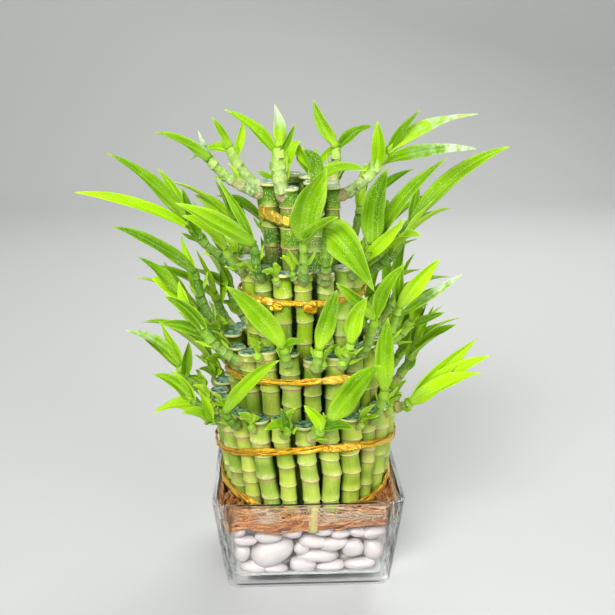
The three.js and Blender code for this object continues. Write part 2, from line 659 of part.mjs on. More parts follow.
// A foil tie: a band with a ridge, drawn round a tier, with small twisted knots.
function tie({ tier, height, band, thickness, steps, knots }) {
  const shape = stemShape(tier, 0);
  const ringShare = (height - STEM_BASE) / (TIERS[tier].cut - STEM_BASE);
  const ring = TIERS[tier].baseRing + ringShare * (TIERS[tier].cutRing - TIERS[tier].baseRing);
  const inside = (ring + stemRadius(shape, height) + TIE_SLACK) / Math.cos(Math.PI / steps);
  const outside = inside + thickness;
  const section = [[inside, -band / 2], [outside, 0], [inside, band / 2], [inside, -band / 2]];
  const outline = section.map(([radius, z]) => new THREE.Vector2(radius, z));
  const geometry = new THREE.LatheGeometry(outline, steps).rotateX(Math.PI / 2);
  const parts = [solidFrom(geometry)];
  for (const degrees of knots) {
    const away = inside + KNOT_RADIUS + TIE_SLACK;
    const knot = new THREE.IcosahedronGeometry(KNOT_RADIUS, 0);
    knot.scale(1, 1, 1.25);
    knot.translate(away * Math.cos(radians(degrees)), away * Math.sin(radians(degrees)), 0);
    parts.push(solidFrom(knot));
  }
  return joined(parts).translate([leanAt(height), 0, height]);
}

addStems();
for (const spec of TIES) {
  addPart(spec.name, tie(spec));
}
for (const shoot of PLACED_SHOOTS) {
  growShoot(shoot);
}
for (const [tierName, numbers] of Object.entries(GROWN_SHOOTS)) {
  for (const k of numbers) {
    growShoot(grownShoot(tierName, k));
  }
}

addMesh('glass_bowl', glassBowl(), materials.glass);
addMesh('white_pebbles', pebbles(), materials.pebble);
addMesh('root_mat', rootMat(), materials.root);
for (const [nodeName, parts] of nodes) {
  const upper = nodeName.startsWith('top') || nodeName.startsWith('second');
  const stemMaterial = upper ? materials.upperCane : materials.cane;
  const material = nodeName.startsWith('tie') ? materials.foil : stemMaterial;
  addMesh(nodeName, geometryFrom(joined(parts.map((part) => part.solid))), material);
}

export default plant;
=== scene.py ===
import bpy
import numpy as np
from mathutils import Matrix, Vector


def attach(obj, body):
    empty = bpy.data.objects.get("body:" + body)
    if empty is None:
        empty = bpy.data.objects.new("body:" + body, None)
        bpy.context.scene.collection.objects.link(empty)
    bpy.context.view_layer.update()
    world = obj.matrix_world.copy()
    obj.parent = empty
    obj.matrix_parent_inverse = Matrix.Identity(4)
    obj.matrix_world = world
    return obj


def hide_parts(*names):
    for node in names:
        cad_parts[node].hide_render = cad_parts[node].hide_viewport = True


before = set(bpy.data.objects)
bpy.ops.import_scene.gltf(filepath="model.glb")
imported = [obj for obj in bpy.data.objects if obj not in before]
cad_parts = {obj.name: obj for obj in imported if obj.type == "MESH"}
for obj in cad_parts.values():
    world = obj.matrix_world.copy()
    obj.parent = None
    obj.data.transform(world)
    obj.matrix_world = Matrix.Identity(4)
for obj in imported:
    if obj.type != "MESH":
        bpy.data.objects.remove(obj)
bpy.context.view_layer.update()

# Everything is worked out in millimetres, in the frame of the solids, and written in metres.
METRE = 0.001
UP = np.array([0.0, 0.0, 1.0])
FRONT = np.array([0.0, -1.0, 0.0])

# Bowl.
BOWL_HEIGHT = 51
BOWL_RIM_HALF = 50
BOWL_FOOT_HALF = 43.9
BOWL_CORNER = 8
BOWL_FLOOR = 5.5
BOWL_INNER_RIM_HALF = 47.4
BOWL_INNER_LOW_HALF = 41.3
BOWL_INNER_LOW = 10
BOWL_INNER_CORNER = 6
BOWL_FOOT_ROUND = 1.6
BOWL_RIM_ROUND = 0.45
BOWL_FLOOR_ROUND = 4.2

# Filling.
PEBBLE_LAYERS = [10.2, 18.4, 26.7]
PEBBLES_A_LAYER = 12
PEBBLE_SEED = 700
PEBBLE_CORNER = 7
FRONT_PEBBLE_SEED = 800
# The drawn pebbles of the first round start behind this, because those in front are listed one by one.
DRAWN_FROM = -28
# Pebbles behind the front wall: x, height of the middle, half length, half height, tilt in degrees,
# and how far behind the wall they lie.
FRONT_PEBBLES = [
    (-18.7, 17.6, 13.1, 7.6, -18, 0.0), (-33.5, 26.5, 6.6, 2.9, 6, 0.6), (-21.4, 27.4, 7.2, 3.4, 6, 2.0),
    (-37.0, 32.3, 4.4, 2.4, -6, 0.6), (-29.2, 9.5, 7.5, 3.7, 4, 0.0), (-17.8, 8.5, 7.2, 2.7, 2, 0.4),
    (-2.7, 10.0, 7.8, 4.2, 10, 0.0), (5.4, 15.0, 12.1, 4.1, 3, 1.4), (2.1, 24.4, 8.2, 3.8, 6, 1.2),
    (13.5, 22.9, 8.5, 3.9, -8, 0.6), (23.4, 20.1, 6.6, 4.8, -12, 0.0), (12.1, 9.0, 8.1, 2.9, -3, 0.8),
    (27.3, 10.4, 8.8, 3.2, -6, 0.0), (34.5, 18.4, 5.9, 6.2, -10, 0.4), (34.3, 30.0, 6.3, 3.4, -8, 0.4),
    (-35.7, 17.7, 4.6, 4.9, 20, 1.6), (17.1, 29.1, 5.8, 2.6, -6, 1.6), (-9.0, 31.0, 5.8, 3.0, 6, 0.6),
    (7.5, 30.8, 5.6, 2.4, -4, 1.6), (26.0, 30.2, 5.2, 2.8, 4, 1.2), (-3.6, 19.8, 4.2, 3.6, 12, 2.4),
]
# Roots: the heights of the mat's underside and middle, the round of its corners, the tops of its pad
# and of its corner posts, how far out the canes stand, and the pale stalk's place sideways.
ROOT_LOW = 33.3
ROOT_MIDDLE = 40.0
ROOT_CORNER = 6.0
ROOT_PAD_TOP = 40.2
ROOT_POST_TOP = 48.5
ROOT_RECESS = 46.6
STALK_X = 2.4
ROOT_SEED = 29
CORNER_STRAND_SEED = 1100
WALL_STRANDS = 1050
CORNER_STRANDS = 560
STRAND_PLACES = np.linspace(0, 1, 11)
STEM_BASE = 40.5

# Tiers of canes: radii of the ring at the foot and at the cut, diameters over the leaf scars, the
# height of the cut, the first angle and the twist in degrees, the height down to which scars show,
# and the shortest and longest segment.
TIERS = {
    "heart": dict(count=2, ring=(3.65, 5.4), across=(7.0, 10.2), cut=213, first=140, turn=0,
                  hidden=186, segment=(17, 25)),
    "top": dict(count=8, ring=(12.1, 16.5), across=(8.6, 10.8), cut=210, first=-112.5, turn=0,
                hidden=174, segment=(17, 25)),
    "second": dict(count=16, ring=(20.8, 29), across=(7.8, 10.6), cut=169, first=-90, turn=2,
                   hidden=134, segment=(11, 19)),
    "third": dict(count=20, ring=(29.6, 38.3), across=(8.9, 10.8), cut=128, first=-85, turn=3,
                  hidden=100, segment=(10, 18)),
    "outer": dict(count=24, ring=(39.6, 46.3), across=(9.9, 11.6), cut=96, first=-92, turn=5,
                  hidden=54, segment=(8.5, 21)),
}
TIER_SEED = {"heart": 500, "top": 100, "second": 200, "third": 300, "outer": 400}
# The height up to which the next tier outside hides each tier, and below which painted shade darkens its
# canes.
COVER = {"heart": 205, "top": 167, "second": 126, "third": 94, "outer": 0}
LEAN = -2
LEAN_HEIGHT = 211
# How light and how wet the canes of each tier are, and how far they step sideways at their scars.
CANE_TINT = {"heart": 0.24, "top": 0.24, "second": 0.62, "third": 0.42, "outer": 0.58}
CANE_WET = {"heart": 1, "top": 1, "second": 0.35, "third": 0.1, "outer": 0}
CANE_SWAY = {"heart": 0.6, "top": 0.6, "second": 0.6, "third": 0.6, "outer": 1.2}
# The pebbles that show in front, listed one by one, then three layers along the other walls, and
# the same again behind their gaps.
CANE_BANDS = {"heart": 0.4, "top": 0.4, "second": 1, "third": 0.6, "outer": 1}
CANE_BROWN = {"heart": 0.5, "top": 0.5, "second": 1, "third": 1, "outer": 1}
# The rings at a cut: height over it, share of the full radius, how pale, how brown and how waxy.
CUT_RINGS = [(-2.1, 0.945, 0.3, 0.1, 0), (-1.5, 0.975, 0.9, 0.1, 0), (-0.85, 0.99, 1, 0, 0),
             (-0.6, 0.955, 1, 0, 0.15), (-0.25, 0.91, 0, 0, 1), (-0.04, 0.83, 0, 0, 1),
             (0, 0.68, 0, 0, 1), (-0.12, 0.4, 0, 0, 1)]
# The rings at a scar, and those up the start of a long segment: height over the scar, share of the
# full radius, how pale, how brown, and how far they follow the scar's slant.
SCAR_RINGS = [(-0.25, 0.965, 0.3, 0.5, 1), (-0.05, 1.01, 0.95, 0.1, 1), (0.25, 1.026, 0.95, 0, 1),
              (0.6, 1.015, 0.5, 0, 1), (1.3, 0.992, 0.45, 0, 0.9)]
SEGMENT_RINGS = [(2.4, 0.968, 0.36, 0, 0.8), (3.8, 0.943, 0.2, 0, 0.5)]
LONG_SEGMENT = 8
CANE_SIDES = 24
SHOOT_SIDES = 14

# Foil ties: the tier each one holds, its height, how far it rises in front and behind and sinks on
# the sides, how much higher it lies on the left, its strands' reach up and down, their turns round
# each other, the angles of its knots, and its opened stretches as (first and last angle, height, how
# far it hangs down). Sink is how far an opened stretch falls from left to right, and tuck how far
# the strands are pressed in at the front and the back.
TIES = {
    "tie_1": dict(tier="top", height=191.5, saddle=0.4, left=3.4, reach=0.9, turns=3, sink=3.0,
                  knots=[-100], flags=[(-178, -106, 7.0, 0), (-40, -5, 5.0, 0)]),
    "tie_2": dict(tier="second", height=153, saddle=0.2, left=0.4, reach=0.8, turns=5,
                  knots=[-128, -84], flags=[(-146, -112, 4.6, 0), (-94, -70, 4.0, 0),
                                            (-125, -111, 4.8, 2.2), (-93, -81, 5.4, 2.6)]),
    "tie_3": dict(tier="third", height=113.5, saddle=1.8, left=-0.6, reach=1.2, turns=4,
                  knots=[-60], flags=[(-81, -58, 5.6, 0)]),
    "tie_4": dict(tier="outer", height=76.5, saddle=5.4, left=-2.0, reach=1.4, turns=3,
                  knots=[-78, -60], flags=[(-82, -60, 5.0, 0), (-48, -18, 3.2, 0)]),
    "tie_5": dict(tier="outer", height=45.6, saddle=-4.6, left=0.6, reach=1.3, turns=4, tuck=1.9,
                  knots=[], flags=[(-172, -132, 4.2, 0), (-50, -14, 4.2, 0)]),
}

TIE_SEED = 40
TIE_POINTS = 480
# How wide and how tall the strands of a tie are.
TIE_STRANDS = [(0.34, 0.95), (0.34, 0.8), (0.28, 0.45)]

# How far under the cut a shoot leaves its cane, and how deep in the cane it starts.
SHOOT_DROP = 7
SHOOT_SINK = 3
# The small swings that a blade may have on its solid: sideways, then up, in degrees.
SWINGS = [(0, 0), (7, 0), (-7, 0), (0, 7), (0, -7), (12, 5), (-12, 5), (14, -6), (-14, -6),
          (22, 0), (-22, 0), (0, 15), (30, 8), (-30, 8)]
# How near a corner of its solid a blade's tip lies.
TIP_NEAR = 0.15
# Points up one sheath of a shoot: share of its length, how far it flares there, and how light it is.
SHEATH_AT = [0.0, 0.07, 0.2, 0.55, 0.94]
SHEATH_FLARE = [0.04, 0.1, 0.03, -0.03, -0.05]
SHEATH_LIGHT = [0.6, 1.0, 0.35, 0.1, 0.0]
SHOOT_WET = {"top": 0.9, "second": 0.9, "third": 0.5, "outer": 0.35}
# Shoots whose tip is further left than this are darker and wetter.
LEFT_SIDE = -40
# Blades over the first width are lighter, and those from the second on are drawn fuller.
LIGHT_WIDTH = 11.5
FULL_WIDTH = 12.5

# Shoots given one by one: tier, number of the cane, tip of the shoot, then its blades as (place along
# the shoot, tip, width, arch, turn of the face from up to the front in degrees).
PLACED_SHOOTS = [
    ("top", 7, (-49, -6, 223), [(1, (-76, -2, 235), 8, 2, 60), (0.85, (-54, 3, 236), 4, 0, 60)]),
    ("top", 6, (-39, 9, 228), [(1, (-47, 5, 242), 6, 0, 80), (0.9, (-59, 12, 219), 8, 3, 50),
                               (0.8, (-31, 14, 240), 6, 1, 70)]),
    ("top", 0, (-12, -17, 231), [(1, (-15, -19, 250), 8, 0, 90), (0.85, (-40, -13, 247), 9, 2, 60),
                                 (0.9, (-5, -24, 241), 5, 0, 80)]),
    ("top", 3, (17, 12, 227), [(1, (5, 13, 250), 8, 1, 80), (0.95, (37, 9, 236), 8, 3, 50)]),
    ("top", 2, (42, -8, 226), [(0.95, (89, -4, 243), 9, 3, 50), (1, (58, -9, 246), 6, 0, 60),
                               (0.8, (86, -18, 227), 9, 3, 50), (0.75, (36, -13, 241), 10, 1, 80)]),
    ("top", 1, (6, -27, 217), [(1, (-2, -30, 229), 8, 1, 80), (0.9, (29, -36, 219), 10, 2, 50)]),
    ("second", 0, (-2, -42, 188), [(0.9, (9, -49, 223), 17, 3, 85), (1, (14, -57, 201), 10, 2, 40)]),
    ("second", 14, (-26, -34, 185), [(0.9, (-63, -42, 206), 12, 3, 55), (1, (-43, -33, 217), 7, 0, 60)]),
    ("second", 13, (-41, -20, 180), [(1, (-61, -27, 197), 9, 2, 50)]),
    ("second", 12, (-62, 2, 191), [(0.95, (-101, 0, 225), 10, 3, 60), (0.8, (-117, -8, 206), 9, 4, 50),
                                   (0.9, (-77, 17, 215), 8, 1, 50), (0.7, (-62, -12, 209), 8, 1, 60)]),
    ("second", 1, (9, -41, 192), [(0.95, (31, -59, 165), 16, 9, 60)]),
    ("second", 2, (32, -31, 184), [(1, (39, -36, 221), 13, 1, 85), (0.85, (69, -30, 225), 9, 3, 60),
                                   (0.7, (47, -44, 198), 8, 1, 60)]),
    ("second", 4, (56, 0, 189), [(0.95, (106, -4, 227), 10, 4, 60), (1, (60, 7, 207), 8, 0, 70)]),
    ("third", 15, (-58, 2, 163), [(0.95, (-101, 0, 187), 9, 4, 50), (1, (-65, 8, 180), 6, 0, 70)]),
    ("third", 16, (-65, -14, 156), [(1, (-85, -19, 175), 8, 2, 50), (0.8, (-80, -8, 161), 12, 3, 60)]),
    ("third", 17, (-55, -30, 144), [(1, (-63, -34, 166), 8, 1, 70), (0.85, (-70, -43, 161), 9, 1, 60),
                                    (0.7, (-75, -30, 143), 9, 3, 50)]),
    ("third", 19, (-12, -49, 137), [(0.95, (-39, -61, 170), 12.4, 4, 75),
                                    (1, (-1, -60, 142), 7, 1, 30)]),
    ("third", 0, (5, -49, 136), [(1, (13, -59, 167), 11, 3, 85)]),
    ("third", 1, (21, -46, 138), [(1, (28, -54, 162), 11, 2, 80)]),
    ("third", 2, (33, -40, 148), [(0.8, (13, -50, 168), 9, 2, 60), (1, (48, -41, 175), 10, 1, 70)]),
    ("third", 3, (47, -26, 150), [(0.95, (67, -28, 174), 11, 3, 80), (0.85, (81, -18, 164), 7, 1, 50),
                                  (1, (49, -22, 172), 7, 0, 70)]),
    ("third", 4, (57, -10, 138), [(1, (66, -16, 156), 9, 1, 60), (0.85, (73, -14, 142), 7, 1, 50)]),
    ("outer", 3, (38, -46, 113), [(0.95, (38, -54, 152), 12, 2, 85)]),
    ("outer", 1, (10, -59, 103), [(0.95, (34, -70, 133), 13, 4, 75)]),
    ("outer", 5, (56, -20, 95), [(0.8, (91, -28, 113), 12.4, 3, 50), (1, (91, -12, 127), 11, 2, 50),
                                 (0.95, (97, -20, 120), 11, 2, 50)]),
    ("outer", 23, (-11, -58, 97), [(0.9, (-22, -67, 100), 8, 1, 40), (1, (-14, -64, 110), 7, 0, 60)]),
    ("outer", 0, (6, -60, 98), [(0.9, (-3, -66, 112), 9, 1, 60), (1, (21, -69, 101), 7, 1, 40)]),
    ("outer", 21, (-42, -45, 102), [(0.9, (-14, -63, 134), 10, 5, 60)]),
    ("outer", 20, (-51, -32, 93), [(0.9, (-64, -41, 99), 11, 2, 50), (1, (-55, -42, 112), 7, 0, 60)]),
    ("outer", 19, (-62, -15, 96), [(1, (-81, -16, 111), 9, 2, 50), (0.8, (-80, -28, 94), 9, 2, 50),
                                   (0.9, (-71, -9, 111), 7, 0, 60)]),
    ("outer", 18, (-69, 5, 110), [(1, (-97, 2, 130), 9, 2, 50), (0.85, (-90, 14, 123), 8, 1, 50),
                                  (0.8, (-62, -7, 126), 8, 1, 60), (0.95, (-78, 7, 133), 7, 0, 60)]),
]

# Blades whose outer half carries a painted silvery highlight: tier, number of the cane, number of the
# blade.
PAINTED_HIGHLIGHT_BLADES = {("top", 0, 0), ("top", 2, 0), ("top", 2, 2), ("top", 7, 1), ("third", 3, 1),
            ("outer", 18, 0)}

# How much darker some blades are, by the same three.
BLADE_SHADES = {
    ("second", 0, 0): -0.12, ("second", 1, 0): 0.34, ("second", 14, 0): 0.34, ("second", 2, 0): 0.2,
    ("third", 19, 0): 0.1, ("outer", 1, 0): -0.06, ("outer", 21, 0): -0.14, ("top", 0, 1): 0.32,
    ("top", 3, 0): 0.32, ("top", 3, 1): 0.25, ("top", 2, 1): 0.25, ("top", 6, 0): 0.3}

# Shoots on the sides and back, which grow by the rule in grown_shoot.
GROWN_SHOOTS = {
    "top": [4, 5],
    "second": [3, 5, 6, 8, 9, 10, 11],
    "third": [6, 7, 8, 9, 11, 12, 13, 14],
    "outer": [7, 8, 9, 11, 12, 13, 15, 16],
}
# The shoots behind the top stay short.
GROWN_SIZE = {"top": 0.5, "second": 1, "third": 1, "outer": 1}

# What a shell of the plant is where its call doesn't say otherwise; deep is its share of painted shade.
PLAIN = dict(leaf=0, deep=0, stem=0, under=0, pale=0, wax=0, tan=0, wet=0, silver=0)

# Colours of the plant.
CANE_SPECK = (0.45, 0.45, 0.05)
CANE_BAND = (0.56, 0.64, 0.09)
SCAR = (0.80, 0.71, 0.36)
SHOOT_DARK, SHOOT_LIGHT = (0.070, 0.195, 0.026), (0.42, 0.62, 0.13)
SHOOT_FROST = (0.70, 0.77, 0.48)
# Painted shade: the dark green put between canes and where the next tier hides them.
PAINTED_SHADE_BETWEEN_CANES = (0.014, 0.054, 0.004)
BARK_DARK, BARK_LIGHT = (0.42, 0.15, 0.08), (0.74, 0.50, 0.32)
BLADE_COLOURS = [(0.0, (0.045, 0.155, 0.003)), (0.3, (0.150, 0.345, 0.003)),
                 (0.65, (0.325, 0.600, 0.004)), (1.0, (0.480, 0.790, 0.008))]
BLADE_BACK = (0.38, 0.56, 0.05)
BLADE_EDGE = (0.62, 0.88, 0.12)
# The colour of the painted silvery highlight on the outer half of some blades.
PAINTED_SILVER_HIGHLIGHT = (0.56, 0.66, 0.50)
WATER = (0.74, 0.88, 0.48)

# The camera of the photograph, in metres, its roll in degrees and its lens in millimetres.
CAMERA_PLACE = np.array([-0.0166, -0.4946, 0.2822])
CAMERA_AIM = np.array([0.00135, -0.00005, 0.14172])
CAMERA_ROLL = -0.26
CAMERA_LENS = 56.4

# The even light from all round, then the lamps: name, place, aim, size, power and colour.
ROUND_LIGHT = (0.90, 0.91, 0.87, 1)
ROUND_STRENGTH = 0.46
LAMPS = [("key", (-0.5, -1.1, 1.05), (0, 0, 0.14), 0.6, 24, (1.0, 0.98, 0.93)),
         ("fill", (0.8, -1.0, 0.45), (0, 0, 0.12), 0.9, 9, (0.97, 0.98, 1.0)),
         ("back", (0.3, 0.9, 1.0), (0, 0, 0.15), 0.7, 10, (1.0, 1.0, 0.97))]


# Numbers and curves.

def draw(seed):
    """A number from 0 to 1 that depends only on its seed: the fraction of a large sine."""
    wave = np.sin(seed * 12.9898) * 43758.5453
    return wave - np.floor(wave)


def between(low, high, seed):
    """A drawn number between two values."""
    return low + (high - low) * draw(seed)


def unit(vectors):
    """The same directions with length one."""
    return vectors / np.linalg.norm(vectors, axis=-1, keepdims=True)


def bezier(start, bend, end, t):
    """A quadratic curve: start at 0, drawn towards bend, end at 1. The shares t are a whole array."""
    t = np.asarray(t, float)[..., None]
    return (1 - t) ** 2 * start + 2 * t * (1 - t) * bend + t ** 2 * end


def slope(start, bend, end, t):
    """The unit direction of the same curve."""
    t = np.asarray(t, float)[..., None]
    return unit((1 - t) * (bend - start) + t * (end - bend))


def swell(values, centre, reach):
    """A smooth hump of height one: a bell curve round the centre."""
    return np.exp(-((values - centre) / reach) ** 2)


def apart(angles, middle):
    """How far angles lie from another, from minus half a turn to half a turn."""
    return (angles - middle + np.pi) % (2 * np.pi) - np.pi


def whole_turn(steps):
    """Angles all the way round, at even steps."""
    return np.linspace(0, 2 * np.pi, steps, endpoint=False)


def stacked(*parts):
    """Three arrays joined as the X, Y and Z of one grid of points."""
    return np.stack(np.broadcast_arrays(*parts), 2)


def square_to(ahead, facing):
    """Two directions square to a path: across its face, and out of it."""
    side = unit(np.cross(ahead, facing))
    return side, np.cross(side, ahead)


def turned(first, second, angle):
    """Two directions square to each other, turned from the first towards the second."""
    c, s = np.cos(angle)[..., None], np.sin(angle)[..., None]
    return c * first + s * second, c * second - s * first


# Meshes.

class Skin:
    """The closed shells of one piece, each with values at its points that the materials read."""

    def __init__(self):
        self.points = []
        self.corners = []
        self.sizes = []
        self.values = {}
        self.count = 0

    def shell(self, rows, ends, **values):
        """Rows of points round a form, turned outwards where the signed volume says that it is inside
        out. Fans to its two end points close it; where it has none, its last row joins its first. A
        value is one number, one for each row, or one for each point."""
        rings, around = rows.shape[:2]
        capped = len(ends) == 2
        points = np.concatenate([rows.reshape(-1, 3), np.reshape(ends, (-1, 3))])
        ring, step = (grid.ravel() for grid in np.meshgrid(
            np.arange(rings - capped), np.arange(around), indexing="ij"))
        low, high, right = ring * around, (ring + 1) % rings * around, (step + 1) % around
        quads = np.stack([low + step, low + right, high + right, high + step], 1)
        faces = [quads]
        if capped:
            left = np.arange(around)
            right = (left + 1) % around
            top = (rings - 1) * around
            faces.append(np.concatenate([
                np.stack([right, left, np.full(around, rings * around)], 1),
                np.stack([top + left, top + right, np.full(around, rings * around + 1)], 1)]))
        p, q, r, s = (points[quads[:, i]] - points.mean(0) for i in range(4))
        order = -1 if (p * (np.cross(q, r) + np.cross(r, s))).sum() < 0 else 1
        for face in faces:
            self.corners.append(face[:, ::order].ravel() + self.count)
            self.sizes.append(np.full(len(face), face.shape[1]))
        self.points.append(points)
        self.count += len(points)
        for name, value in values.items():
            value = np.asarray(value, float)
            if value.ndim == 1:
                value = value[:, None]
            if value.ndim < 3:
                value = np.broadcast_to(value, (rings, around))
            kept = value.reshape(rings * around, *value.shape[2:])
            if capped:
                kept = np.concatenate([kept, [value[0].mean(0), value[-1].mean(0)]])
            self.values.setdefault(name, []).append(kept)

    def piece(self, name, material, slot, *nodes):
        """Writes the shells as one piece that stands for the named nodes."""
        mesh = bpy.data.meshes.new(name)
        points = np.concatenate(self.points) * METRE
        mesh.vertices.add(len(points))
        mesh.vertices.foreach_set("co", points.ravel())
        corners = np.concatenate(self.corners)
        sizes = np.concatenate(self.sizes)
        mesh.loops.add(len(corners))
        mesh.loops.foreach_set("vertex_index", corners)
        mesh.polygons.add(len(sizes))
        mesh.polygons.foreach_set("loop_start", np.concatenate([[0], np.cumsum(sizes)[:-1]]))
        mesh.update(calc_edges=True)
        for key, parts in self.values.items():
            value = np.concatenate(parts)
            kind = "FLOAT_VECTOR" if value.ndim == 2 else "FLOAT"
            attribute = mesh.attributes.new(key, kind, "POINT")
            attribute.data.foreach_set("vector" if value.ndim == 2 else "value", value.ravel())
        mesh.shade_smooth()
        mesh.materials.append(material)
        made = bpy.data.objects.new(name, mesh)
        bpy.context.scene.collection.objects.link(made)
        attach(made, "root")
        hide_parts(*nodes)
        return made


# Materials.

class Value:
    """A socket of a material. Sums, differences and products of values add Math nodes."""

    def __init__(self, finish, socket):
        self.finish = finish
        self.socket = socket

    def maths(self, operation, *numbers):
        """A Math node on numbers and values."""
        return self.finish.node("ShaderNodeMath", {"operation": operation}, dict(enumerate(numbers)))

    def __add__(self, other):
        return self.maths("ADD", self, other)

    def __sub__(self, other):
        return self.maths("SUBTRACT", self, other)

    def __rsub__(self, other):
        return self.maths("SUBTRACT", other, self)

    def __mul__(self, other):
        return self.maths("MULTIPLY", self, other)

    __radd__ = __add__
    __rmul__ = __mul__

    def size(self):
        """The value without its sign."""
        return self.maths("ABSOLUTE", self)

    def lesser(self, other):
        """The smaller of two."""
        return self.maths("MINIMUM", self, other)

    def greater(self, other):
        """The larger of two."""
        return self.maths("MAXIMUM", self, other)


class Finish:
    """One material: a principled surface, and the nodes that vary it."""

    def __init__(self, name, **uniform):
        self.material = bpy.data.materials.new(name)
        self.material.use_nodes = True
        self.tree = self.material.node_tree
        self.tree.nodes.clear()
        self.surface = self.tree.nodes.new("ShaderNodeBsdfPrincipled")
        output = self.tree.nodes.new("ShaderNodeOutputMaterial")
        self.tree.links.new(self.surface.outputs[0], output.inputs["Surface"])
        for key, value in uniform.items():
            self.surface.inputs[key.replace("_", " ")].default_value = value

    def node(self, kind, settings, inputs, output=0):
        """Adds a node: its settings first, then the values or links of its sockets."""
        made = self.tree.nodes.new(kind)
        for key, value in settings.items():
            if key == "stops":
                ramp = made.color_ramp
                while len(ramp.elements) < len(value):
                    ramp.elements.new(0.5)
                for element, (place, colour) in zip(ramp.elements, value):
                    element.position = place
                    element.color = (*colour, 1)
            else:
                setattr(made, key, value)
        for key, value in inputs.items():
            if isinstance(value, Value):
                self.tree.links.new(value.socket, made.inputs[key])
            else:
                made.inputs[key].default_value = value
        return Value(self, made.outputs[output])

    def spot(self, name):
        """A value at the points of the piece, by its name."""
        return self.node("ShaderNodeAttribute", {"attribute_name": name}, {}, "Fac")

    def place(self, name=None):
        """The place on the object, or a vector kept at its points."""
        if name:
            return self.node("ShaderNodeAttribute", {"attribute_name": name}, {}, "Vector")
        return self.node("ShaderNodeTexCoord", {}, {}, "Object")

    def along(self, where, axis):
        """How far a place lies along X, Y or Z."""
        return self.node("ShaderNodeSeparateXYZ", {}, {0: where}, axis)

    def noise(self, where, scale, detail=2.0, rough=0.5):
        """Soft noise from 0 to 1."""
        return self.node("ShaderNodeTexNoise", {},
                         {"Vector": where, "Scale": scale, "Detail": detail, "Roughness": rough}, "Fac")

    def cells(self, where, scale):
        """The distance to the nearest of many scattered points."""
        return self.node("ShaderNodeTexVoronoi", {}, {"Vector": where, "Scale": scale}, "Distance")

    def step(self, value, low, high):
        """A smooth step from 0 at low to 1 at high."""
        return self.node("ShaderNodeMapRange", {"interpolation_type": "SMOOTHSTEP"},
                         {"Value": value, "From Min": low, "From Max": high})

    def band(self, value, start, full, fading, end):
        """A band with soft edges: a smooth step up, and one down."""
        return self.step(value, start, full) * (1 - self.step(value, fading, end))

    def patches(self, where, scale, low, high, detail=2.0, rough=0.5):
        """Patches with soft edges: noise through a smooth step."""
        return self.step(self.noise(where, scale, detail, rough), low, high)

    def ramp(self, value, stops):
        """A colour for each value."""
        return self.node("ShaderNodeValToRGB", {"stops": stops}, {"Fac": value}, "Color")

    def mix(self, share, first, second):
        """The first colour at 0, the second at 1."""
        first, second = (c if isinstance(c, Value) else (*c, 1) for c in (first, second))
        return self.node("ShaderNodeMix", {"data_type": "RGBA"}, {0: share, 6: first, 7: second}, 2)

    def link(self, colour, bump=None, strength=0.0, depth=0.0, **varied):
        """Links what varies over the surface: its colour, a bump so strong and so deep, and the rest."""
        for key, value in {"Base_Color": colour, **varied}.items():
            self.tree.links.new(value.socket, self.surface.inputs[key.replace("_", " ")])
        if bump is not None:
            normal = self.node("ShaderNodeBump", {},
                               {"Height": bump, "Strength": strength, "Distance": depth})
            self.tree.links.new(normal.socket, self.surface.inputs["Normal"])
        return self.material


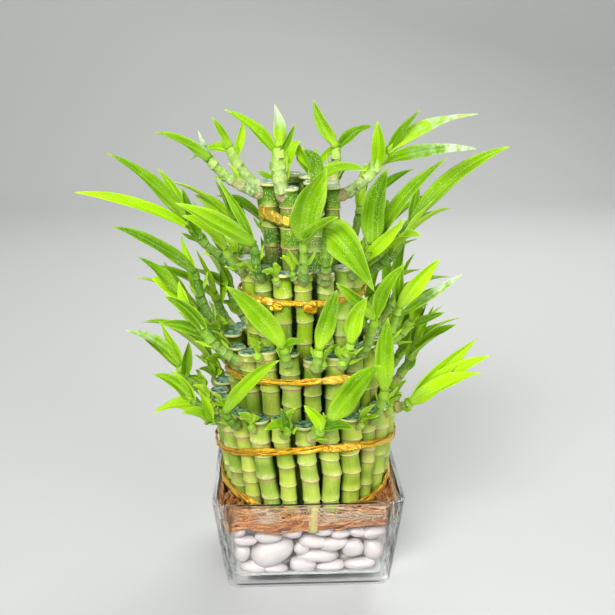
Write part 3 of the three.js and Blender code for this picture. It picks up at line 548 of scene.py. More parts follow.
def plant_finish(name, cane_dark, cane_light, wax_dark, wax_light):
    """Canes, shoots and blades of one part of the tower. Streaks run along each of them, pale bands and
    rings mark the scars, brown scales the collars, frost the shoots and wax the cuts. Painted shade
    darkens the canes where they face each other and where the next tier hides them, some blades carry
    a painted silvery highlight towards their tips, and drops of water lie where it is wet."""
    finish = Finish(name, Coat_Roughness=0.15, IOR=1.42, Specular_IOR_Level=0.12,
                    Specular_Tint=(0.92, 1.0, 0.25, 1.0))
    where, grain = finish.place(), finish.place("grain")
    leaf, tint, pale, wax, wet = (finish.spot(name) for name in ("leaf", "tint", "pale", "wax", "wet"))
    streaks = finish.noise(grain, 2.6, 3.0, 0.6)
    fibres = finish.noise(grain, 11.0, 2.0, 0.6)
    clouds = finish.noise(where, 110.0)
    cane_shade = streaks * 0.5 + tint * 0.9 + fibres * 0.25 + clouds * 0.35 - 0.5
    cane = finish.mix(finish.step(cane_shade, -0.05, 1.05), cane_dark, cane_light)
    cane = finish.mix(finish.step(clouds, 0.56, 0.75) * 0.2, cane, CANE_SPECK)
    cane = finish.mix(finish.step(pale, 0.05, 0.5) * 0.5, cane, CANE_BAND)
    cane = finish.mix(finish.step(pale, 0.5, 0.95) * 0.9, cane, SCAR)
    stem = finish.mix(streaks * 0.5 + tint * 0.6 + clouds * 0.4 - 0.25, SHOOT_DARK, SHOOT_LIGHT)
    frost = finish.patches(where, 520.0, 0.40, 0.60)
    stem = finish.mix(finish.step(pale, 0.15, 0.6) * (0.15 + frost * 0.6), stem, SHOOT_FROST)
    cane = finish.mix(finish.spot("stem"), cane, stem)
    # Painted shade, by the deep value: between canes, and low on canes that the next tier hides.
    cane = finish.mix(finish.spot("deep"), cane, PAINTED_SHADE_BETWEEN_CANES)
    bark = finish.mix(fibres, BARK_DARK, BARK_LIGHT)
    cane = finish.mix(finish.spot("tan") * finish.step(streaks, 0.3, 0.6), cane, bark)
    veins = finish.noise(grain, 0.8, 2.0, 0.6)
    blade = finish.ramp(veins * 0.55 + streaks * 0.3 + tint * 0.7 + clouds * 0.2 - 0.42, BLADE_COLOURS)
    blade = finish.mix(finish.spot("under") * 0.4, blade, BLADE_BACK)
    blade = finish.mix(pale * 0.6, blade, BLADE_EDGE)
    colour = finish.mix(leaf, cane, blade)
    frosted = finish.mix(finish.patches(where, 420.0, 0.35, 0.7), wax_dark, wax_light)
    colour = finish.mix(wax, colour, frosted)
    # Painted highlight: some blades turn silvery in patches towards their tips.
    silver = finish.spot("silver") * finish.patches(where, 240.0, 0.34, 0.62)
    colour = finish.mix(silver * 0.85, colour, PAINTED_SILVER_HIGHLIGHT)
    kept = finish.step(finish.noise(where, 210.0, 1.0) + wet * 0.16, 0.50, 0.62)
    drops = 1 - finish.step(finish.cells(where, 1200.0), 0.18, 0.34)
    drops = drops * kept * finish.step(wet, 0.02, 0.3)
    colour = finish.mix(drops * (0.75 - leaf * 0.35), colour, WATER)
    rough = 0.45 - leaf * 0.08 - wax * 0.22 - drops * 0.25
    height = fibres * 0.45 + streaks * 0.5 + drops * 1.5
    return finish.link(colour, height, 0.4, 0.00035, Roughness=rough,
                       Coat_Weight=0.1 - leaf * 0.1 + wax * 0.4)


def glass_finish():
    """Clear pressed glass with faint waves. Its base and its upright corners let more through; painted
    grey shade lies on the bevel round its foot with a painted dark line above it, and painted dark
    streaks stand in its corners where refraction darkens the glass."""
    finish = Finish("clear_glass", Transmission_Weight=1.0, IOR=1.3, Coat_Weight=0.5,
                    Coat_Roughness=0.03)
    where = finish.place()
    x, y, z = (finish.along(where, axis) for axis in "XYZ")
    corner = finish.step(x.size().lesser(y.size()), 0.0365, 0.0410)
    bevel = finish.band(z, 0.0001, 0.0003, 0.0009, 0.0014)
    line = finish.band(z, 0.0020, 0.0023, 0.0031, 0.0034) * (1 - corner)
    upright = finish.node("ShaderNodeVectorMath", {"operation": "MULTIPLY"},
                          {0: where, 1: (1.0, 1.0, 0.05)}, "Vector")
    grooves = finish.noise(upright, 420.0, 1.0)
    streaks = corner * finish.step(grooves, 0.52, 0.58)
    waves = finish.noise(where, 26.0, 1.0)
    tone = finish.mix(waves, (0.93, 0.96, 0.95), (0.98, 0.99, 0.985))
    # Painted shade: a dark line above the foot, grey on the bevel and dark streaks in the corners,
    # standing in for how refraction darkens the glass there.
    tone = finish.mix(line, tone, (0.03, 0.03, 0.03))
    tone = finish.mix(bevel * 0.5, tone, (0.30, 0.30, 0.30))
    tone = finish.mix(streaks, tone, (0.20, 0.21, 0.21))
    clear = (1 - finish.step(z, 0.0042, 0.0060)) * (1 - line - bevel * 0.7)
    clear = clear.greater(corner * (0.85 - streaks * 0.8))
    return finish.link(tone, waves + corner * grooves * 0.6, 0.14, 0.002,
                       Roughness=finish.noise(where, 60.0, 3.0) * 0.03, Alpha=1 - clear * 0.64)


def pebble_finish():
    """Polished white pebbles with a faint blush and soft veins."""
    finish = Finish("white_pebble", Coat_Roughness=0.2, IOR=1.5)
    where = finish.place()
    cloud = finish.noise(where, 60.0, 3.0)
    tint = finish.spot("tint")
    colour = finish.mix(cloud * 0.6 + tint * 0.4, (0.385, 0.338, 0.338), (0.455, 0.415, 0.418))
    veins = finish.patches(where, 130.0, 0.60, 0.72, 5.0, 0.65)
    colour = finish.mix(veins * 0.25, colour, (0.40, 0.32, 0.31))
    grit = finish.noise(where, 900.0, 3.0)
    return finish.link(colour, grit, 0.12, 0.0004, Roughness=0.32 + cloud * 0.16,
                       Coat_Weight=0.2 + cloud * 0.1)


def root_finish():
    """Matted roots: rust and straw strands, with a pale haze high on the walls and in the corners."""
    finish = Finish("matted_root", IOR=1.4)
    where = finish.place()
    fibre = finish.noise(finish.place("grain"), 1.0, 4.0, 0.65)
    corner = finish.step(finish.along(where, "X").size(), 0.034, 0.043)
    high = finish.step(finish.along(where, "Z") + finish.noise(where, 70.0) * 0.006, 0.040, 0.0445)
    hazy = high.greater(corner * 0.8) * finish.spot("wall") * finish.patches(where, 55.0, 0.3, 0.6, 3.0)
    shade = finish.spot("tint") * 0.5 + fibre * 0.35 + finish.noise(where, 170.0, 3.0) * 0.55 - 0.26
    colour = finish.ramp(shade, [(0.0, (0.11, 0.030, 0.009)), (0.3, (0.30, 0.098, 0.026)),
                                 (0.6, (0.50, 0.220, 0.066)), (0.85, (0.62, 0.38, 0.17)),
                                 (1.0, (0.70, 0.57, 0.39))])
    colour = finish.mix(hazy * 0.75, colour, (0.40, 0.345, 0.265))
    colour = finish.mix(finish.spot("stalk"), colour, (0.36, 0.36, 0.13))
    return finish.link(colour, fibre, 0.5, 0.0005, Roughness=0.35 + finish.noise(where, 90.0) * 0.35)


def foil_finish():
    """Crinkled gold foil: sharp small folds, from deep orange to bright yellow."""
    finish = Finish("gold_foil", Coat_Roughness=0.2)
    where = finish.place()
    streaks = finish.noise(finish.place("grain"), 1.6, 3.0, 0.6)
    folds = finish.cells(where, 260.0)
    tone = finish.noise(where, 130.0)
    shade = streaks * 1.2 + tone * 0.35 + folds * 0.2 + finish.spot("tint") * 0.4 - 0.50
    colour = finish.ramp(shade, [(0.0, (0.20, 0.050, 0.003)), (0.3, (0.60, 0.215, 0.008)),
                                 (0.6, (0.93, 0.53, 0.022)), (1.0, (1.0, 0.85, 0.20))])
    return finish.link(colour, streaks + folds * 0.3, 0.8, 0.0008, Roughness=0.2 + tone * 0.2,
                       Metallic=0.7 + tone * 0.25)


# Canes.

def stem_shape(tier_name, k):
    """One cane: its foot and head, its angle, its two radii, its cut and its leaf scars' heights."""
    tier = TIERS[tier_name]
    seed = TIER_SEED[tier_name] + k
    cut = tier["cut"] + between(-2.2, 2.2, seed)
    angle = np.radians(tier["first"] + 360 * k / tier["count"])
    foot_angle = angle + np.radians(tier["turn"])
    low, high = tier["ring"]
    foot = np.array([low * np.cos(foot_angle), low * np.sin(foot_angle), STEM_BASE])
    head = np.array([high * np.cos(angle) + lean_at(cut), high * np.sin(angle), cut])
    scars = []
    z = cut - between(10, 14, seed + 0.5)
    while z > max(tier["hidden"] - 14, STEM_BASE + 8):
        scars.insert(0, z)
        z -= between(*tier["segment"], seed + 0.1 * len(scars))
    if tier_name != "outer" and draw(seed + 0.95) < 0.4:
        scars.append(cut - 4.6)
    scars += [low + between(0.38, 0.62, seed + low) * (high - low)
              for low, high in zip([STEM_BASE, *scars], scars) if high - low > 15.5]
    scars.sort()
    return dict(foot=foot, head=head, angle=angle, radii=np.array(tier["across"]) / 2, cut=cut,
                scars=scars, seed=seed, tier=tier_name)


def lean_at(z):
    """How far the bundle leans sideways at a height."""
    return LEAN * (z - STEM_BASE) / (LEAN_HEIGHT - STEM_BASE)


def share_of(shape, z):
    """How far up its cane a height is, from 0 to 1."""
    return (z - STEM_BASE) / (shape["cut"] - STEM_BASE)


def stem_radius(shape, z):
    """The cane's radius over its scars at a height."""
    low, high = shape["radii"]
    return low + share_of(shape, z) * (high - low)


def stem_axis(shape, z):
    """The middle of the cane at a height."""
    share = np.asarray(share_of(shape, z), float)[..., None]
    return shape["foot"] + share * (shape["head"] - shape["foot"])


def cane_rings(shape):
    """The rings of a cane between its foot and its cap: height, share of the full radius, how pale,
    how brown, how far it follows the slant of the nearest scar, and the number of that scar."""
    lows = [STEM_BASE, *shape["scars"]]
    highs = [*shape["scars"], shape["cut"]]
    rings = []
    for i, (low, high) in enumerate(zip(lows, highs)):
        if i > 0:
            rings += [(low + rise, *rest, i) for rise, *rest in SCAR_RINGS]
        if high - low > LONG_SEGMENT:
            rings += [(low + rise, *rest, i) for rise, *rest in SEGMENT_RINGS]
            rings += [((low + high) / 2 + 1, 0.916, 0.0, 0.0, 0.0, i),
                      (high - 1.8, 0.906, 0.0, 0.05, 0.8, i + 1)]
        else:
            rings += [((low + high) / 2, 0.95, 0.3, 0.2, 0.5, i)]
        rings += [(high - 0.6, 0.912, 0.04, 0.4, 1.0, i + 1)]
    return rings[:-1]


def plant_shell(skin, rows, ends, **values):
    """A shell with every value that the plant's finish reads."""
    skin.shell(rows, ends, **{**PLAIN, **values})


def add_cane(skin, shape):
    """A cane: rings round its leaning axis. Each segment swells just above the scar below it, is
    slimmest under the next, and stands a little aside of the one below. The scars slant, the radius
    wanders round the cane, buds, pale patches and brown lie at some scars, and a rounded cap of wax
    closes the cut. Painted shade darkens it where it faces a neighbour and where the next tier hides
    it."""
    seed, cut, tier = shape["seed"], shape["cut"], shape["tier"]
    rings = [(*ring, 0) for ring in cane_rings(shape)]
    rings += [(cut + rise, share, pale, brown, 0, 0, wax) for rise, share, pale, brown, wax in CUT_RINGS]
    z, share, pale, brown, slant, near, wax = np.array(rings).T
    turn = whole_turn(CANE_SIDES)
    flat = np.ones((len(z), len(turn)))
    shown = np.clip((z - 40) / 10, 0, 1)[:, None]
    wander = (0.012 * np.sin(2 * turn + 6 * draw(seed + 0.2))
              + 0.008 * np.sin(3 * turn + 5 * draw(seed + 0.3)))
    girth = between(0.86, 1.05, seed + 0.35)
    radius = girth * (stem_radius(shape, z) * share)[:, None] * (1 + wander * shown)
    tan = CANE_BROWN[tier] * brown[:, None] * flat
    light = np.where(pale > 0.6, pale, CANE_BANDS[tier] * pale)[:, None] * flat

    def patch(side, wide, level, tall):
        """A hump on the cane: bell curves round it and along it."""
        round_it = swell(apart(turn, shape["angle"] + side), 0, wide)
        return round_it[None, :] * swell(z, level, tall)[:, None]

    for i, scar in enumerate(shape["scars"]):
        if draw(seed + 0.37 * i + 0.6) < 0.42:
            bud = patch(between(-1.1, 1.1, seed + 0.71 * i), 0.24, scar + 0.9, 1.0)
            radius = radius + between(0.4, 1.0, seed + i) * bud
            light = np.maximum(light, 0.95 * bud)
        if draw(seed + 0.53 * i + 0.9) < 0.3:
            tan = np.maximum(tan, 0.75 * swell(z, scar - 0.5, 1.2)[:, None] * flat)
        if draw(seed + 0.83 * i + 0.4) < 0.4:
            glow = patch(between(-1.3, 1.3, seed + 0.61 * i), 0.9, scar + 0.8, 2.4)
            light = np.maximum(light, between(0.55, 0.85, seed + 0.4 * i) * glow)
    tilt = slant * between(0.1, 0.7, seed + 0.7 * near)
    height = z[:, None] + tilt[:, None] * np.sin(turn[None, :] + 6.3 * draw(seed + 0.9 * near)[:, None])
    tangent = np.array([-np.sin(shape["angle"]), np.cos(shape["angle"]), 0])
    bends = [STEM_BASE, *shape["scars"], cut]
    kinks = between(-1, 1, seed + 0.37 * np.arange(len(bends)))
    kinks[[0, -1]] *= [0, 0.3]
    aside = CANE_SWAY[tier] * np.interp(z, bends, kinks)[:, None] * tangent
    axis = stem_axis(shape, z) + aside
    rows = stacked(axis[:, None, 0] + radius * np.cos(turn), axis[:, None, 1] + radius * np.sin(turn),
                   height)
    # Painted shade on the flanks that face the neighbouring canes, and low down where the next tier
    # hides the cane.
    flank_painted_shade = np.clip(0.75 - 2.5 * np.cos(turn - shape["angle"]), 0, 1)[None, :]
    flank_painted_shade = flank_painted_shade * np.clip((cut - 3 - z) / 6, 0, 1)[:, None]
    covered_painted_shade = np.clip((COVER[tier] - 5 - z) / 9, 0, 1)[:, None]
    tint = CANE_TINT[tier] + between(-0.18, 0.18, seed + 0.15) + between(-0.24, 0.24, seed + 1.3 * near)
    plant_shell(skin, rows, (stem_axis(shape, STEM_BASE), stem_axis(shape, cut - 0.3) + aside[-1]),
                deep=0.78 * np.maximum(flank_painted_shade, covered_painted_shade), stem=between(0, 0.5, seed + 0.25), pale=light,
                wax=wax, tan=tan, tint=np.clip(tint, 0, 1), wet=CANE_WET[tier],
                grain=stacked(1.5 * np.cos(turn), 1.5 * np.sin(turn), 0.05 * z[:, None] + seed))


def add_crown(skin, first, second):
    """A root crown between two feet: an oval bar."""
    turn = whole_turn(12)
    along = np.linspace(0, 1, 5)
    middle = first["foot"] + along[:, None] * (second["foot"] - first["foot"]) + 1.5 * UP
    side = unit(np.cross(second["foot"] - first["foot"], UP))
    rows = middle[:, None] + 2.0 * np.cos(turn)[:, None] * side + 1.45 * np.sin(turn)[:, None] * UP
    plant_shell(skin, rows, (middle[0], middle[-1]), pale=0.3, tan=0.8, tint=0.3, grain=rows * 0.3)


# Shoots and blades.

def blade_width(t):
    """A blade's width as a share of its full width: a narrow foot, a rise by a quarter sine to its
    broadest a third of the way along, then one less a power of the rest, down to a fine point."""
    rise = np.sin(0.5 * np.pi * np.clip(t / 0.34, 0, 1)) ** 0.9
    taper = np.clip((t - 0.34) / 0.66, 0, 1)
    return (0.30 + 0.70 * rise) * (1 - taper ** 1.75)


ACROSS = np.array([-1, -0.9, -0.6, -0.26, 0, 0.26, 0.6, 0.9, 1, 0.9, 0.6, 0.26, 0, -0.26, -0.6, -0.9])
SIDE_UP = np.array([0, 1, 1, 1, 1, 1, 1, 1, 0, -1, -1, -1, -1, -1, -1, -1])


def add_blade(skin, root, tip, width, arch, facing, seed, carries_on, wet, dark, stations=23, stout=1.0,
              foot_tint=0.5, silver=0.0):
    """A pointed blade: rings across a curve from root to tip. Its halves fold up from the midrib, most
    of all at its clasping foot, its edges ripple, and it twists a little. One that carries on a shoot
    starts as round, as stout and as light as the shoot. Its edges, midrib and tip are paler, and one
    with a painted silvery highlight is green only near its foot."""
    t = np.linspace(0, 1, stations)[:-1]
    bend = (root + tip) / 2 + 2 * arch * UP
    ahead = slope(root, bend, tip, t)
    side, normal = square_to(ahead, facing)
    side, normal = turned(side, normal, between(-1.0, 1.0, seed + 0.11) * (t - 0.15))
    sweep = 0.26 * width * between(-1, 1, seed + 0.21) * np.sin(np.pi * t)
    centre = bezier(root, bend, tip, t) + sweep[:, None] * side
    foot = np.clip(1 - t / (0.4 if carries_on else 0.15), 0, 1)
    crease = between(0.45, 1.35, seed + 0.71) * (1.3 - 0.8 * t)
    crease = crease * (1 - 0.8 * foot) if carries_on else crease + 0.9 * np.clip(1 - t / 0.3, 0, 1)
    fuller = 0.92 if width < FULL_WIDTH else 1.08
    wide = width * blade_width(t) * fuller / np.sqrt(1 + 0.55 * crease ** 2)
    half = np.maximum(wide / 2, 2.0 * stout * foot ** 0.6 if carries_on else 0.0)
    thick = 0.26 + (1.7 * stout if carries_on else 0.6) * foot
    fold = (crease * half)[:, None] * np.abs(ACROSS) ** 1.15
    ripple = 0.095 * wide[:, None] * ACROSS ** 2 * np.sin(
        2 * np.pi * (1.5 * t[:, None] + draw(seed + 0.31)) + 1.3 * np.sign(ACROSS))
    body = SIDE_UP * thick[:, None] * np.sqrt(np.clip(1 - ACROSS ** 2, 0, 1))
    rows = (centre[:, None] + (half[:, None] * ACROSS)[..., None] * side[:, None]
            + (fold + ripple * np.sin(np.pi * t)[:, None] + body)[..., None] * normal[:, None])
    join = foot * carries_on
    edge = np.abs(ACROSS) ** 8 * 0.9 + 0.3 * swell(ACROSS, 0, 0.14)
    end = 0.7 * np.clip((t[:, None] - 0.86) / 0.14, 0, 1)
    pale = (edge[None, :] * (0.35 + 0.65 * between(0, 1, seed + 0.41)) * (1 - join[:, None])
            + (0.15 if carries_on else 0.5) * foot[:, None] + end)
    tint = between(0.2, 1.0, seed + 0.51) - dark + between(-0.25, 0.25, seed + 0.81) * (t - 0.5)
    tint = tint + join * (foot_tint - tint)
    grain = stacked(1.1 * half[:, None] * ACROSS, 0.025 * np.linalg.norm(tip - root) * t[:, None] + seed,
                    3 * seed)
    plant_shell(skin, rows, (centre[0], tip), leaf=1 - 0.25 * join, stem=join, pale=np.clip(pale, 0, 1),
                under=(SIDE_UP < 0) * (1 - join[:, None]), tint=np.clip(tint, 0, 1), grain=grain,
                wet=wet * between(0.2, 1.0, seed + 0.61), silver=silver * np.clip((t - 0.3) / 0.4, 0, 1))


def shoot_line(shape, outward, tip):
    """The curve of a shoot: out of the cane's side, then up to its tip."""
    z = shape["cut"] - SHOOT_DROP
    start = stem_axis(shape, z) + outward * (stem_radius(shape, z) - SHOOT_SINK)
    length = np.linalg.norm(tip - start)
    bend = (start + tip) / 2 + 0.14 * length * outward - 0.12 * length * UP
    return start, bend, tip


def add_shoot(skin, line, facing, places, seed, wet, tone, collar_size=0.24, stout=1.0, sheath=4.6,
              frost=0.0):
    """The stem of a shoot: a tapering tube of short overlapping sheaths, each widest at its lower
    end, with a scaly brown collar at the cane and a swelling that clasps each blade. It grows lighter
    and leafier to its end, and frost whitens it."""
    length = np.linalg.norm(line[2] - line[0])
    count = max(4, int(round(length / sheath)))
    number = np.repeat(np.arange(count), len(SHEATH_AT))
    t = (number + np.tile(SHEATH_AT, count)) / count
    flare = 1 + np.tile(SHEATH_FLARE, count) / stout
    lip = np.tile(SHEATH_LIGHT, count) * draw(seed + 0.17 * number)
    taper = 0.7 if stout <= 1 else 0.95
    radius = stout * (2.75 - taper * t) * flare * between(0.94, 1.06, seed + 0.29 * number)
    swollen = collar_size / stout ** 3 * swell(t * length, 3.2, 1.6)
    radius = radius * (1 + swollen - 0.4 * swell(t * length, 0, 2.4))
    for place in places:
        radius = radius * (1 + 0.22 / stout ** 3 * swell(t, place, 0.06))
    radius = radius * np.sqrt(np.clip((1 - t) * length / 1.6, 0.15, 1))
    ahead = slope(*line, t)
    side, normal = square_to(ahead, facing)
    turn = whole_turn(SHOOT_SIDES)
    slant = 0.015 * sheath ** 2 * np.sin(turn[None, :] + 5 * draw(seed + 0.43 * number)[:, None])
    lump = 1 + 0.05 * np.sin(3 * turn[None, :] + 6 * draw(seed + 0.61 * number)[:, None])
    round_it = radius[:, None] * lump
    rows = (bezier(*line, t)[:, None] + slant[..., None] * ahead[:, None]
            + (round_it * np.cos(turn))[..., None] * side[:, None]
            + (round_it * np.sin(turn))[..., None] * normal[:, None])
    collar = swell(t * length, 2.6, 1.8 / stout)
    brown = 0.8 * collar + 0.5 * (draw(seed + 0.37 * number) < 0.3) * (t < 0.5)
    tint = tone + 0.3 * t + between(-0.15, 0.15, seed + 0.53 * number)
    plant_shell(skin, rows, (line[0], line[2]), leaf=0.75 * t ** 1.5, stem=1, wet=wet,
                pale=frost + 0.5 * lip + 0.2 * collar, tan=np.clip(brown, 0, 1),
                tint=np.clip(tint, 0, 1),
                grain=stacked(1.2 * np.cos(turn), 1.2 * np.sin(turn), 0.9 * t[:, None] + seed))


def add_scale_leaves(skin, line, facing, seed, wet):
    """Two or three small scale leaves that lean out from the stem of a shoot."""
    length = np.linalg.norm(line[2] - line[0])
    for i in range(2 + (draw(seed + 0.77) < 0.5)):
        place = between(0.3, 0.8, seed + 1.7 * i + 0.13)
        root = bezier(*line, place)
        ahead = slope(*line, place)
        away = unit(np.cross(ahead, facing)) * (1 if (i + int(seed)) % 2 else -1)
        away = unit(away + between(-0.8, 0.8, seed + 2.3 * i) * facing)
        reach = min(between(7, 12, seed + 0.9 * i), 0.5 * length)
        tip = root + 1.2 * away + reach * unit(ahead + between(0.25, 0.7, seed + 1.1 * i) * away)
        add_blade(skin, root + 0.9 * away, tip, between(3.0, 4.4, seed + 3.1 * i), 0.4, away,
                  seed + 5.3 * i, False, wet, 0.1, stations=12)


def climbing(angle, climb, distance):
    """A step at a level angle and an angle of climb."""
    level = distance * np.cos(climb)
    return np.array([level * np.cos(angle), level * np.sin(angle), distance * np.sin(climb)])


def grown_shoot(tier_name, k):
    """A shoot on a side or the back: outward and up, with a spear and two or three side blades."""
    seed = TIER_SEED[tier_name] + k + 31
    size = GROWN_SIZE[tier_name]
    shape = stem_shape(tier_name, k)
    heading = shape["angle"] + np.radians(between(-15, 15, seed))
    rise = np.radians(between(38, 60, seed + 0.1))
    start = stem_axis(shape, shape["cut"] - SHOOT_DROP)
    tip = start + climbing(heading, rise, size * between(24, 36, seed + 0.2))
    spear = tip + climbing(heading, rise + np.radians(14), size * between(20, 28, seed + 0.3))
    blades = [(1, spear, 6, 0, 50)]
    for i in range(int(np.floor(between(2, 3, seed + 0.4) + 0.5))):
        turn = heading + (1 if i % 2 == 0 else -1) * np.radians(between(24, 64, seed + 0.5 + i))
        climb = np.radians(between(12, 42, seed + 0.6 + i))
        end = start + 0.9 * (tip - start) + climbing(turn, climb, size * between(28, 44, seed + 0.7 + i))
        wide = size ** 0.5 * between(8, 11, seed + 0.8 + i)
        blades.append((0.92 - 0.14 * i, end, wide, 4, between(20, 50, seed + 0.9 + i)))
    return tier_name, k, tip, blades, climbing(heading + np.pi, 0, 1)


def node_name(tier_name, k):
    """The solid that a cane belongs to."""
    if tier_name == "heart":
        return f"top_stem_{TIERS['top']['count'] + k + 1}"
    if tier_name in ("second", "third"):
        return f"{tier_name}_stems_{k // 2 + 1}"
    return f"{tier_name}_stem_{k + 1}"


def swung(root, tip, turn, rise):
    """A tip turned about its root: first up or down, then round the vertical."""
    reach = tip - root
    level = unit(np.array([-reach[1], reach[0], 0.0]))
    lift = -np.radians(rise)
    reach = (np.cos(lift) * reach + np.sin(lift) * np.cross(level, reach)
             + (1 - np.cos(lift)) * (level @ reach) * level)
    c, s = np.cos(np.radians(turn)), np.sin(np.radians(turn))
    return root + np.array([c * reach[0] - s * reach[1], s * reach[0] + c * reach[1], reach[2]])


def corners_of(name):
    """The corners of a solid, in millimetres."""
    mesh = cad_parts[name].data
    flat = np.zeros(3 * len(mesh.vertices))
    mesh.vertices.foreach_get("co", flat)
    return flat.reshape(-1, 3) / METRE


def solid_tip(corners, root, aim):
    """The blade's tip on its solid: the first of the small swings that ends on a corner of it."""
    for turn, rise in SWINGS:
        tip = swung(root, aim, turn, rise)
        if np.linalg.norm(corners - tip, axis=1).min() < TIP_NEAR:
            return tip
    return None


def grow(skin, corners, shoot, number):
    """A shoot and its blades, apart from any that its solid hasn't, which it names in the output.
    Those of the top are stouter and frosted, and those of the left and of the second tier darker and
    wetter."""
    tier_name, k, tip, blades, front = shoot
    shape = stem_shape(tier_name, k)
    tip = np.array(tip, float)
    line = shoot_line(shape, unit((tip - shape["head"]) * [1, 1, 0]), tip)
    wet = SHOOT_WET[tier_name]
    seed = 3.7 * number + 11
    turns = np.radians([blade[4] for blade in blades])
    facings = [np.cos(turn) * UP + np.sin(turn) * front for turn in turns]
    stout, sheath, frost = 1.0, between(4.2, 5.6, seed + 0.9), between(-0.05, 0.12, seed + 0.8)
    if tier_name == "top":
        stout, sheath, frost = 1.55 if k == 0 else 1.25, 6.0, 0.42
    tone = between(0.05, 0.75, seed + 0.3)
    if tip[0] < LEFT_SIDE or tier_name == "second":
        tone, wet = tone - 0.3, max(wet, 0.9)
    add_shoot(skin, line, facings[0], [blade[0] for blade in blades[1:]], seed, wet, tone, stout=stout,
              sheath=sheath, frost=frost)
    add_scale_leaves(skin, line, facings[0], seed, wet)
    for i, (place, aim, width, arch, _) in enumerate(blades):
        root = tip if i == 0 else bezier(*line, place)
        end = solid_tip(corners, root, np.array(aim, float))
        if end is None:
            print("no blade", tier_name, k, i)
            continue
        dark = 0.5 if draw(seed + 0.9 * i + 0.3) < 0.28 else 0.05
        if width > LIGHT_WIDTH:
            dark = -0.05
        dark = BLADE_SHADES.get((tier_name, k, i), dark)
        sunk = root - (1.5 if i == 0 else 3.0) * slope(*line, place)
        # Blades in the set carry a painted silvery highlight.
        add_blade(skin, sunk, end, width, arch, facings[i], seed + 0.73 * i, i == 0, wet, dark,
                  stout=stout, foot_tint=tone + 0.3, silver=float((tier_name, k, i) in PAINTED_HIGHLIGHT_BLADES))


def add_sprout(skin, shape):
    """A young shoot beside a cut: a short stem with three small leaves fanned round its tip."""
    seed = shape["seed"] + 61
    heading = shape["angle"] + between(-0.9, 0.9, seed)
    outward = climbing(heading, 0, 1)
    start = stem_axis(shape, shape["cut"] - 6.5) + outward * (stem_radius(shape, shape["cut"]) - 2)
    climb = np.radians(between(35, 65, seed + 0.1))
    tip = start + climbing(heading, climb, between(6.5, 9.5, seed + 0.2))
    line = start, (start + tip) / 2 + 1.2 * outward, tip
    facing = unit(0.6 * UP - outward)
    tone = between(0.05, 0.75, seed + 0.3)
    add_shoot(skin, line, facing, [], seed, 0.7, tone, collar_size=0.0, stout=0.85)
    for i in range(3):
        turn = heading + np.radians(55 * (i - 1) + between(-18, 18, seed + 0.3 * i))
        climb = np.radians(between(15, 70, seed + 0.4 + i))
        end = tip + climbing(turn, climb, between(7, 12, seed + 0.5 + i))
        add_blade(skin, tip - outward, end, between(4.5, 7, seed + 0.6 + i), 1, facing, seed + 2.9 * i,
                  False, 0.5, 0.1, stations=13)


# Bowl and filling.

def inner_half(z):
    """Half the width between the bowl's inner walls at a height."""
    rise = (BOWL_INNER_RIM_HALF - BOWL_INNER_LOW_HALF) / (BOWL_HEIGHT - BOWL_INNER_LOW)
    return BOWL_INNER_LOW_HALF + rise * (z - BOWL_INNER_LOW)


def square_ring(half, corner, z):
    """A square with round corners: quarter circles joined by straight sides, whose first and last
    points stand close to the corners so that the sides shade flat."""
    angle = np.radians(np.linspace(0, 90, 9))
    straight = np.array([0.04, 0.2, 0.5, 0.8, 0.96])
    middle = half - corner
    quarter = np.stack([middle + corner * np.cos(angle), middle + corner * np.sin(angle)], 1)
    side = np.stack([middle - 2 * middle * straight, np.full(len(straight), float(half))], 1)
    quarter_turn = np.array([[0, 1], [-1, 0]])
    parts = [np.concatenate([quarter, side])]
    for _ in range(3):
        parts.append(parts[-1] @ quarter_turn)
    ring = np.concatenate(parts)
    return np.column_stack([ring, np.full(len(ring), float(z))])


def add_bowl(skin):
    """The bowl: square rings up its outside, over its round rim, down its inside and across its
    floor, with rings close together where the wall turns."""
    foot, rim, floor = BOWL_FOOT_ROUND, BOWL_RIM_ROUND, BOWL_FLOOR_ROUND
    rings = [square_ring(BOWL_FOOT_HALF - 1.5 * foot, BOWL_CORNER - 1.5 * foot, 0)]
    for turn in np.radians([0, 22, 45, 68, 90]):
        inset = foot * (1 - np.sin(turn))
        rings.append(square_ring(BOWL_FOOT_HALF - inset, BOWL_CORNER - inset,
                                 foot - foot * np.cos(turn)))
    for z in (2.4, 8, 20, 34, 46, 48.8):
        spread = (BOWL_RIM_HALF - BOWL_FOOT_HALF) * (z - foot) / (BOWL_HEIGHT - 0.8 - foot)
        rings.append(square_ring(BOWL_FOOT_HALF + spread, BOWL_CORNER, z))
    for half, corner, way in ((BOWL_RIM_HALF, BOWL_CORNER, 1),
                              (BOWL_INNER_RIM_HALF, BOWL_INNER_CORNER, -1)):
        for turn in np.radians([0, 30, 60, 90])[::way]:
            inset = way * rim * (1 - np.cos(turn))
            rings.append(square_ring(half - inset, corner - inset,
                                     BOWL_HEIGHT - rim * (1 - np.sin(turn))))
    for z in (48.6, 45, 34, 22, 13, 10.4):
        rings.append(square_ring(inner_half(z), BOWL_INNER_CORNER, z))
    for turn in np.radians([15, 35, 55, 75, 90]):
        rings.append(square_ring(BOWL_INNER_LOW_HALF - floor * (1 - np.cos(turn)), BOWL_INNER_CORNER,
                                 BOWL_INNER_LOW - (BOWL_INNER_LOW - BOWL_FLOOR) * np.sin(turn)))
    rings.append(square_ring(BOWL_INNER_LOW_HALF - 6, BOWL_INNER_CORNER - 1, BOWL_FLOOR))
    skin.shell(np.array(rings), ([0, 0, 0], [0, 0, BOWL_FLOOR]))


